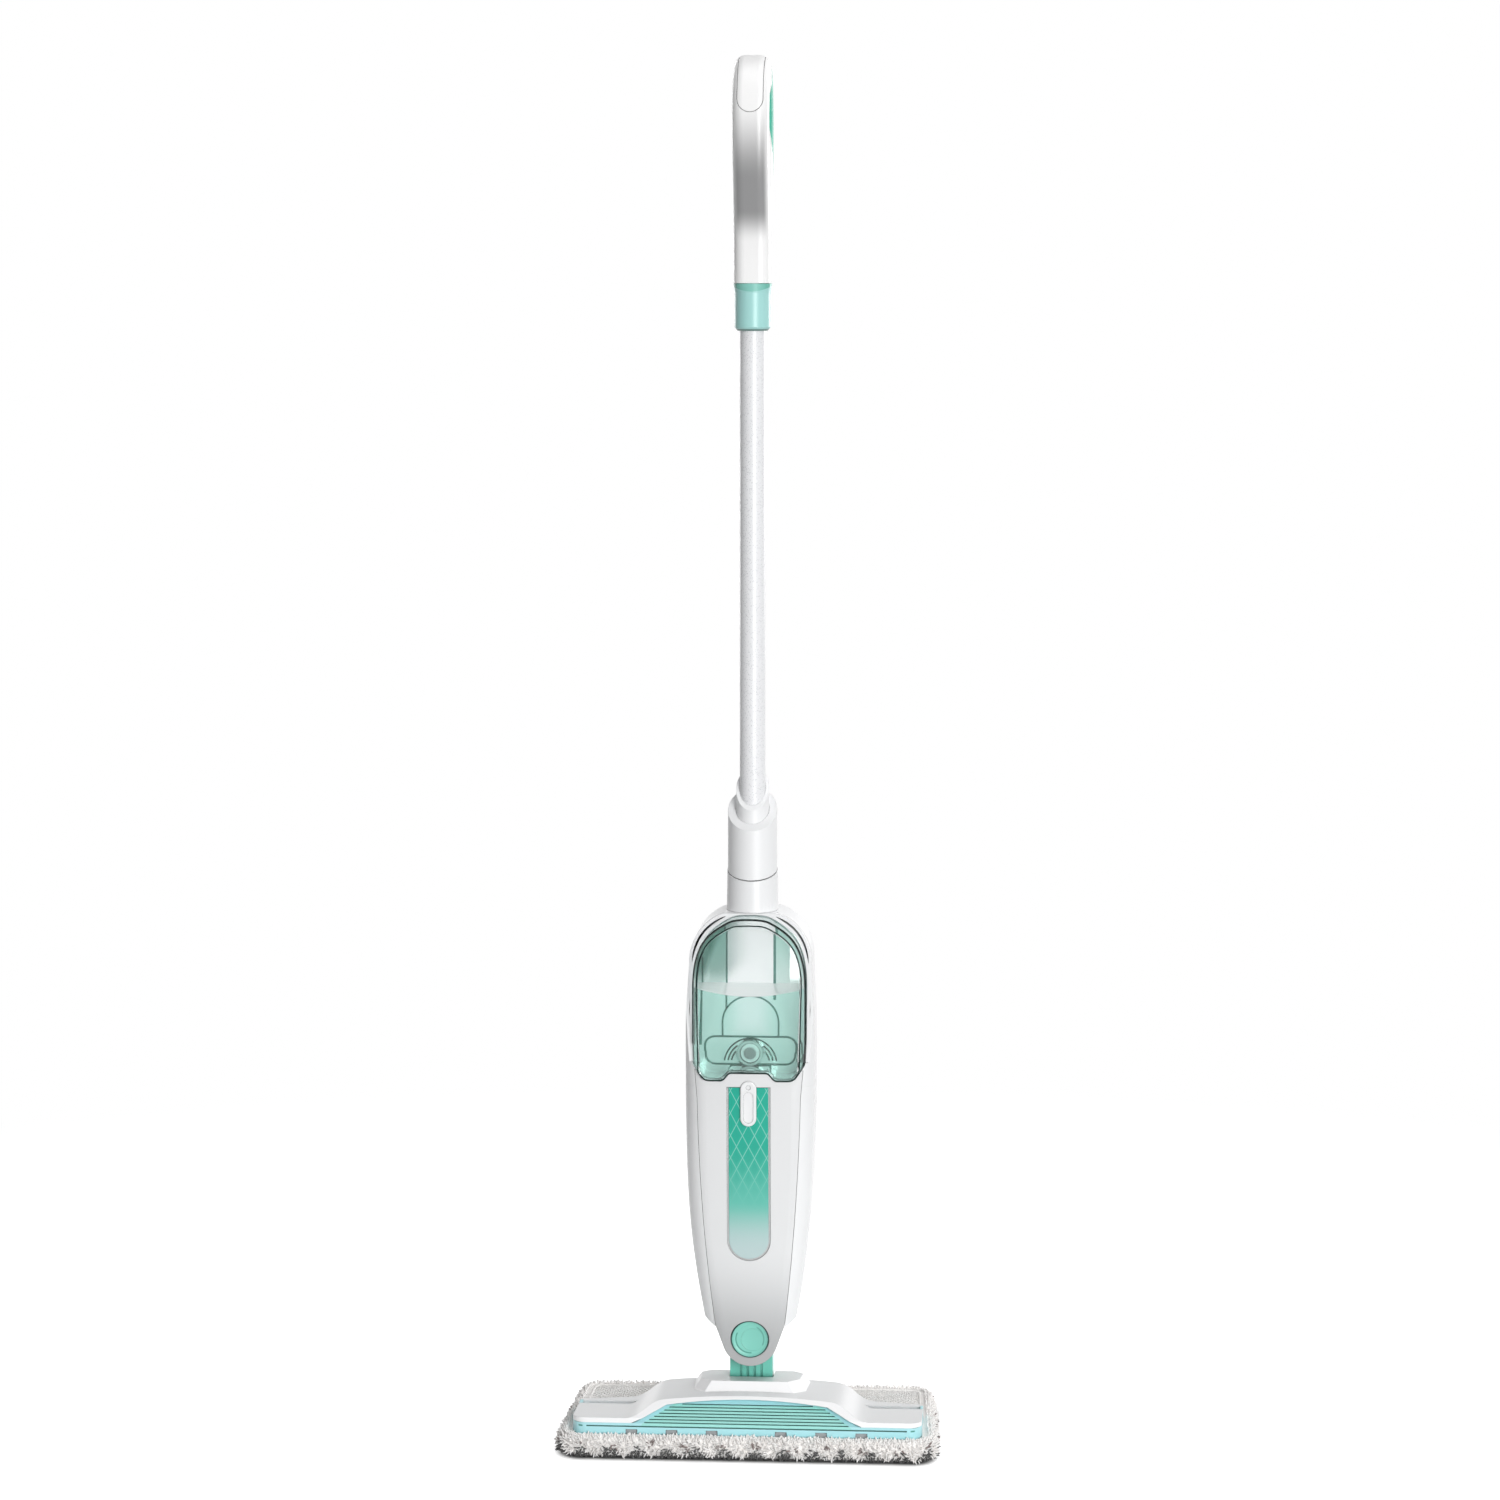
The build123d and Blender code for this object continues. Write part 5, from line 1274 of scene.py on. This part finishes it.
def make_all_screws():
    body_spots = [(x, 23.0, z) for x, z in ((-27, 136), (27, 136), (-37, 300), (37, 300))]
    make_screws("body_cross_screws", "body_screws", "main_body", body_spots,
                ((1, 0, 0), (0, 0, -1), (0, 1, 0)), (3.2, 2.9, 1.4, 45.0))
    make_screws("handle_cross_screw", "handle_screw", "handle", [(-14.8, 8.0, 1006.0)],
                ((0, 0, 1), (0, 1, 0), (-1, 0, 0)), (3.2, 1.8, 1.6, 3.6))
    base_spots = [(x, y, 9.5) for x in (-84, 84) for y in (-46, -4)]
    make_screws("head_cross_screws", "head_screws", "mop_head", base_spots,
                ((1, 0, 0), (0, -1, 0), (0, 0, -1)), (3.4, 1.1, 1.4, 14.8))


# Water and ribs of the tank
def tank_side(bevel):
    """Half of the tank's inside: from the middle of the bottom up the right wall to below the surface."""
    half = TANK_HALF - TANK_WALL
    low = TANK_LOW + TANK_WALL
    lobe = low - 6.8
    corners = (
        (0, low), (16.5 + 0.45 * TANK_WALL, low), (22.5 + 0.45 * TANK_WALL, lobe),
        (38.5 - 0.52 * TANK_WALL, lobe), (half - 0.8, low + 6.5 - 0.69 * TANK_WALL),
        (half, low + 24 - TANK_WALL), (half, WATER_LEVEL - 8))
    path = rounded_path(corners, (0, 4, 5, 9, 9, 12, 0), 2.0, closed=False)
    path[:, 0] = np.minimum(path[:, 0], half - bevel)
    return path


def water_height(x, y):
    """The surface climbs at the walls and dips towards the middle of the front."""
    forward = (WATER_BACK - y) / (WATER_BACK - WATER_FRONT)
    return WATER_LEVEL + 2.5 - 7.0 * forward * (1 - (x / TANK_HALF) ** 2)


def tank_window(x, z, depth):
    """Where the domed front of the tank stands, some way behind its outer face."""
    dome = WINDOW_ROUND - np.sqrt(WINDOW_ROUND ** 2 - np.square(x))
    return WINDOW_FRONT + depth + dome + WINDOW_LEAN * (z - WINDOW_Z)


def water_ring(y, bevel):
    """One closed section: up the right wall, over the surface and down the left wall."""
    right = tank_side(bevel)
    half = TANK_HALF - TANK_WALL - bevel
    across = np.linspace(half, -half, WATER_COLUMNS)
    surface = np.stack([across, water_height(across, y)], axis=1)
    left = right[:0:-1] * np.array([-1, 1])
    return np.vstack([right, surface, left]), len(right)


def make_water():
    sections = ((WATER_BACK, 0.0), (-23.0, 0.0), (-30.0, 0.0), (-37.9, 0.0), (-41.3, 2.8),
                (WATER_FRONT, 5.6))
    rings = []
    for y, bevel in sections:
        outline, side = water_ring(y, bevel)
        rings.append((outline, y))
    middle = np.array([0.0, 365.0])
    for share in (0.75, 0.5, 0.25):
        rings.append((middle + (outline - middle) * share, WATER_FRONT))
    points = []
    for ring, y in rings:
        points.extend((x, max(y, tank_window(x, z, TANK_WALL)), z) for x, z in ring)
    count = len(outline)
    faces = ring_faces(count, len(rings))
    surface = range(side, side + WATER_COLUMNS - 1)
    finish = []
    for r in range(len(rings) - 1):
        finish.extend(int(r < len(sections) - 1 and i in surface) for i in range(count))
    last = (len(rings) - 1) * count
    faces.append(tuple(range(count)))
    faces.append(tuple(reversed([last + k for k in range(count)])))
    finish.extend((0, 0))
    finishes = ["tank_water", "water_top"]
    water = make_piece("tank_water", points, faces, finishes, "tank", finish)
    cut_filler_room(water)


def cut_filler_room(water):
    """Room in the water for the filler neck and its valve."""
    room = ((0.0, -24.2), (FILLER_ROOM, -24.2), (FILLER_ROOM, -10.0), (0.0, -10.0))
    neck_points, neck_faces = lathe(room, 48, (0.0, FILLER_Z), "y")
    cutter = put_in_scene("filler_room", mesh_of("filler_room", neck_points, neck_faces))
    face_outward(cutter.data, weld=True)
    face_outward(water.data)
    modifier = water.modifiers.new("filler", "BOOLEAN")
    modifier.operation = "DIFFERENCE"
    modifier.solver = "EXACT"
    modifier.object = cutter
    graph = bpy.context.evaluated_depsgraph_get()
    graph.update()
    cut = bpy.data.meshes.new_from_object(water.evaluated_get(graph))
    water.modifiers.clear()
    water.data = cut
    bpy.data.objects.remove(cutter)
    cut.set_sharp_from_angle(angle=math.radians(35))
    cut.shade_smooth()


def tank_edge_line(wanted):
    """Points on the tank's sharp edges that pass a test, in order round its middle."""
    shape = bmesh.new()
    shape.from_mesh(frame["nodes"]["tank_shell"].data)
    bmesh.ops.remove_doubles(shape, verts=shape.verts, dist=1e-6)
    found = set()
    for edge in shape.edges:
        if len(edge.link_faces) != 2 or edge.calc_face_angle(0.0) < math.radians(12):
            continue
        ends = [tuple(np.round(np.array(vert.co) / MM, 3)) for vert in edge.verts]
        if all(wanted(*end) for end in ends):
            found.update(ends)
    shape.free()

    def turn(point):
        return (math.atan2(point[2] - TANK_MIDDLE_Z, point[0]) + math.pi / 2) % (2 * math.pi)

    return np.array(sorted(found, key=turn))


def on_window(x, y, z):
    """Whether a point is on the edge of the tank's window."""
    return abs(y - max(TANK_FRONT, tank_window(x, z, 0.0))) < 0.12


def on_shoulder(x, y, z):
    """Whether a point is on the outer side of the tank's arch, where its bevel starts."""
    lift = max(0.0, (z - ARCH_FOOT) / ARCH_RISE)
    outside = (abs(x) / ARCH_HALF) ** ARCH_POWER + lift ** ARCH_POWER > 1
    return z > SHOULDER_LOW and abs(y - SHOULDER_Y) < 0.05 and outside


def make_tank_beads():
    """Thin dark beads along the edge of the tank's window and along its shoulder, put there as painted
    shade for the dark look of these clear edges.
    """
    window = tank_edge_line(on_window)
    window = even_line(np.vstack([window, window[:1]]), 1.4)[:-1]
    inward = np.c_[-window[:, 0], np.zeros(len(window)), TANK_MIDDLE_Z - window[:, 2]]
    window += 0.35 * inward / np.linalg.norm(inward, axis=1)[:, None]
    shoulder = even_line(tank_edge_line(on_shoulder), 1.6)
    points, faces = gather(tube_mesh(window, 0.6, 8, closed=True), tube_mesh(shoulder, 0.45, 8))
    make_piece("tank_edge_beads", points, faces, ["bead_teal"], "tank")


def back_rib(line, radius, lift=0.6, closed=False):
    """One rib on the inside of the tank's back wall, along points of width and height."""
    return tube_mesh([(x, BACK_FACE - lift, z) for x, z in line], radius, 8, closed)


def make_tank_ribs():
    half, low, high = 38.3, 331.5, 355.6
    border = rounded_path(((-half, low), (half, low), (half, high), (-half, high)), 8.0, 1.5)
    parts = [back_rib(border, 0.9, 0.7, closed=True)]
    arcs = ((22.6, 8, 172), (19.5, 10, 55), (19.5, 125, 170), (16.6, 12, 42), (16.6, 138, 168))
    for radius, start, end in arcs:
        turn = np.radians(np.linspace(start, end, 28))
        arc = [(radius * math.cos(angle), low + radius * math.sin(angle)) for angle in turn]
        parts.append(back_rib(arc, 0.7))
    arch_corners = ((-24.0, 356.4), (-24.0, 391.0), (24.0, 391.0), (24.0, 356.4))
    parts.append(back_rib(rounded_path(arch_corners, (0, 23.5, 23.5, 0), 1.5, closed=False), 0.8))
    uprights = (
        (-20.6, 380, 454, 0.8), (20.6, 388, 454, 1.2), (-41.5, 348, 424, 0.8), (41.5, 348, 397, 0.6))
    for x, start, end, radius in uprights:
        parts.append(back_rib([(x, z) for z in np.linspace(start, end, 18)], radius))
    points, faces = gather(*parts)
    make_piece("tank_back_ribs", points, faces, ["rib_teal"], "tank")


# Stage, light and camera
def make_floor():
    """A floor that is white from afar, with a painted shadow close round the pad."""
    reach = 40.0
    corners = [(-reach, -reach, 0), (reach, -reach, 0), (reach, reach, 0), (-reach, reach, 0)]
    mesh = bpy.data.meshes.new("floor")
    mesh.from_pydata(corners, [], [(0, 1, 2, 3)])
    material, tree, shader = blank("pale_floor")
    shader.inputs["Roughness"].default_value = 0.9
    shader.inputs["Specular IOR Level"].default_value = 0.0
    shader.inputs["Emission Color"].default_value = (1, 1, 1, 1)
    x, y, _ = axes(tree, place_in_piece(tree))
    past = []
    for offset, half in ((x, SHADOW_HALF_WIDTH), (y, SHADOW_HALF_DEPTH)):
        beyond = calc(tree, "SUBTRACT", calc(tree, "ABSOLUTE", offset), half)
        past.append(calc(tree, "MAXIMUM", beyond, 0.0))
    far = distance(tree, *past)
    # Painted shadow: the floor's colour is dark within a few centimetres of the pad.
    clear = rise(tree, far, 0.012, 0.024)
    pale = mix_colour(tree, clear, (0.12, 0.12, 0.12, 1), (0.8, 0.8, 0.8, 1))
    away = rise(tree, far, 0.35, 1.4)
    feed(tree, shader.inputs["Base Color"], mix_colour(tree, away, pale, (0.0, 0.0, 0.0, 1)))
    # The glow also drops close round the pad, as part of the painted shadow.
    near = rise(tree, far, 0.013, 0.031, 0.0, 0.92)
    glow = calc(tree, "MAXIMUM", near, rise(tree, far, 0.3, 0.6))
    feed(tree, shader.inputs["Emission Strength"], product(tree, seen_rays(tree), glow))
    mesh.materials.append(material)
    put_in_scene("floor", mesh)


def make_world():
    """White where it is seen, and a soft light from the right."""
    world = bpy.data.worlds.new("studio")
    bpy.context.scene.world = world
    world.use_nodes = True
    tree = world.node_tree
    way = axes(tree, add_node(tree, "TexCoord").outputs["Generated"])
    soft = rise(tree, way["X"], -0.9, 0.1, 0.06, 0.44)
    soft = product(tree, soft, rise(tree, way["Z"], 0.1, 0.8, 1.0, 0.6))
    backdrop = tree.nodes["Background"].inputs
    backdrop["Color"].default_value = (1, 1, 1, 1)
    feed(tree, backdrop["Strength"], calc(tree, "MAXIMUM", seen_rays(tree), soft))


def make_lamp(name, place, target, width, height, power):
    data = bpy.data.lights.new(name, "AREA")
    data.shape = "RECTANGLE"
    data.size = width
    data.size_y = height
    data.energy = power
    lamp = put_in_scene(name, data)
    lamp.location = place
    way = Vector(target) - Vector(place)
    lamp.rotation_euler = way.to_track_quat("-Z", "Y").to_euler()


def make_lights():
    make_lamp("key", (1.3, -3.35, 1.1), (0, 0, 0.7), 1.4, 2.2, 94)
    make_lamp("fill", (-1.6, -3.2, 1.0), (0, 0, 0.6), 1.2, 2.0, 4)
    make_lamp("top", (0.3, -0.4, 3.2), (0, 0, 0.5), 1.6, 1.6, 14)
    make_lamp("back", (1.9, 2.6, 1.5), (0, 0, 0.6), 1.6, 2.0, 44)
    make_lamp("far_side", (-1.7, 2.8, 1.3), (0, 0, 0.6), 1.6, 2.0, 24)


def make_camera():
    data = bpy.data.cameras.new("camera")
    data.sensor_width = SENSOR
    data.sensor_fit = "HORIZONTAL"
    data.lens = FOCAL_PIXELS / PICTURE * SENSOR
    data.shift_x = -AXIS_OFFSET_PIXELS / PICTURE
    data.clip_end = 200.0
    camera = put_in_scene("camera", data)
    camera.location = (
        CAMERA_REACH * math.sin(CAMERA_TURN), -CAMERA_REACH * math.cos(CAMERA_TURN), CAMERA_HEIGHT)
    camera.rotation_euler = (math.pi / 2 - CAMERA_DIP, 0.0, CAMERA_TURN)
    bpy.context.scene.camera = camera


def build():
    bpy.context.scene.view_settings.view_transform = "Standard"
    make_camera()
    make_world()
    make_lights()
    make_floor()
    dress_nodes()
    make_pad()
    make_hook_tape()
    make_springs()
    make_bellows()
    make_all_screws()
    make_water()
    make_tank_beads()
    make_tank_ribs()


build()
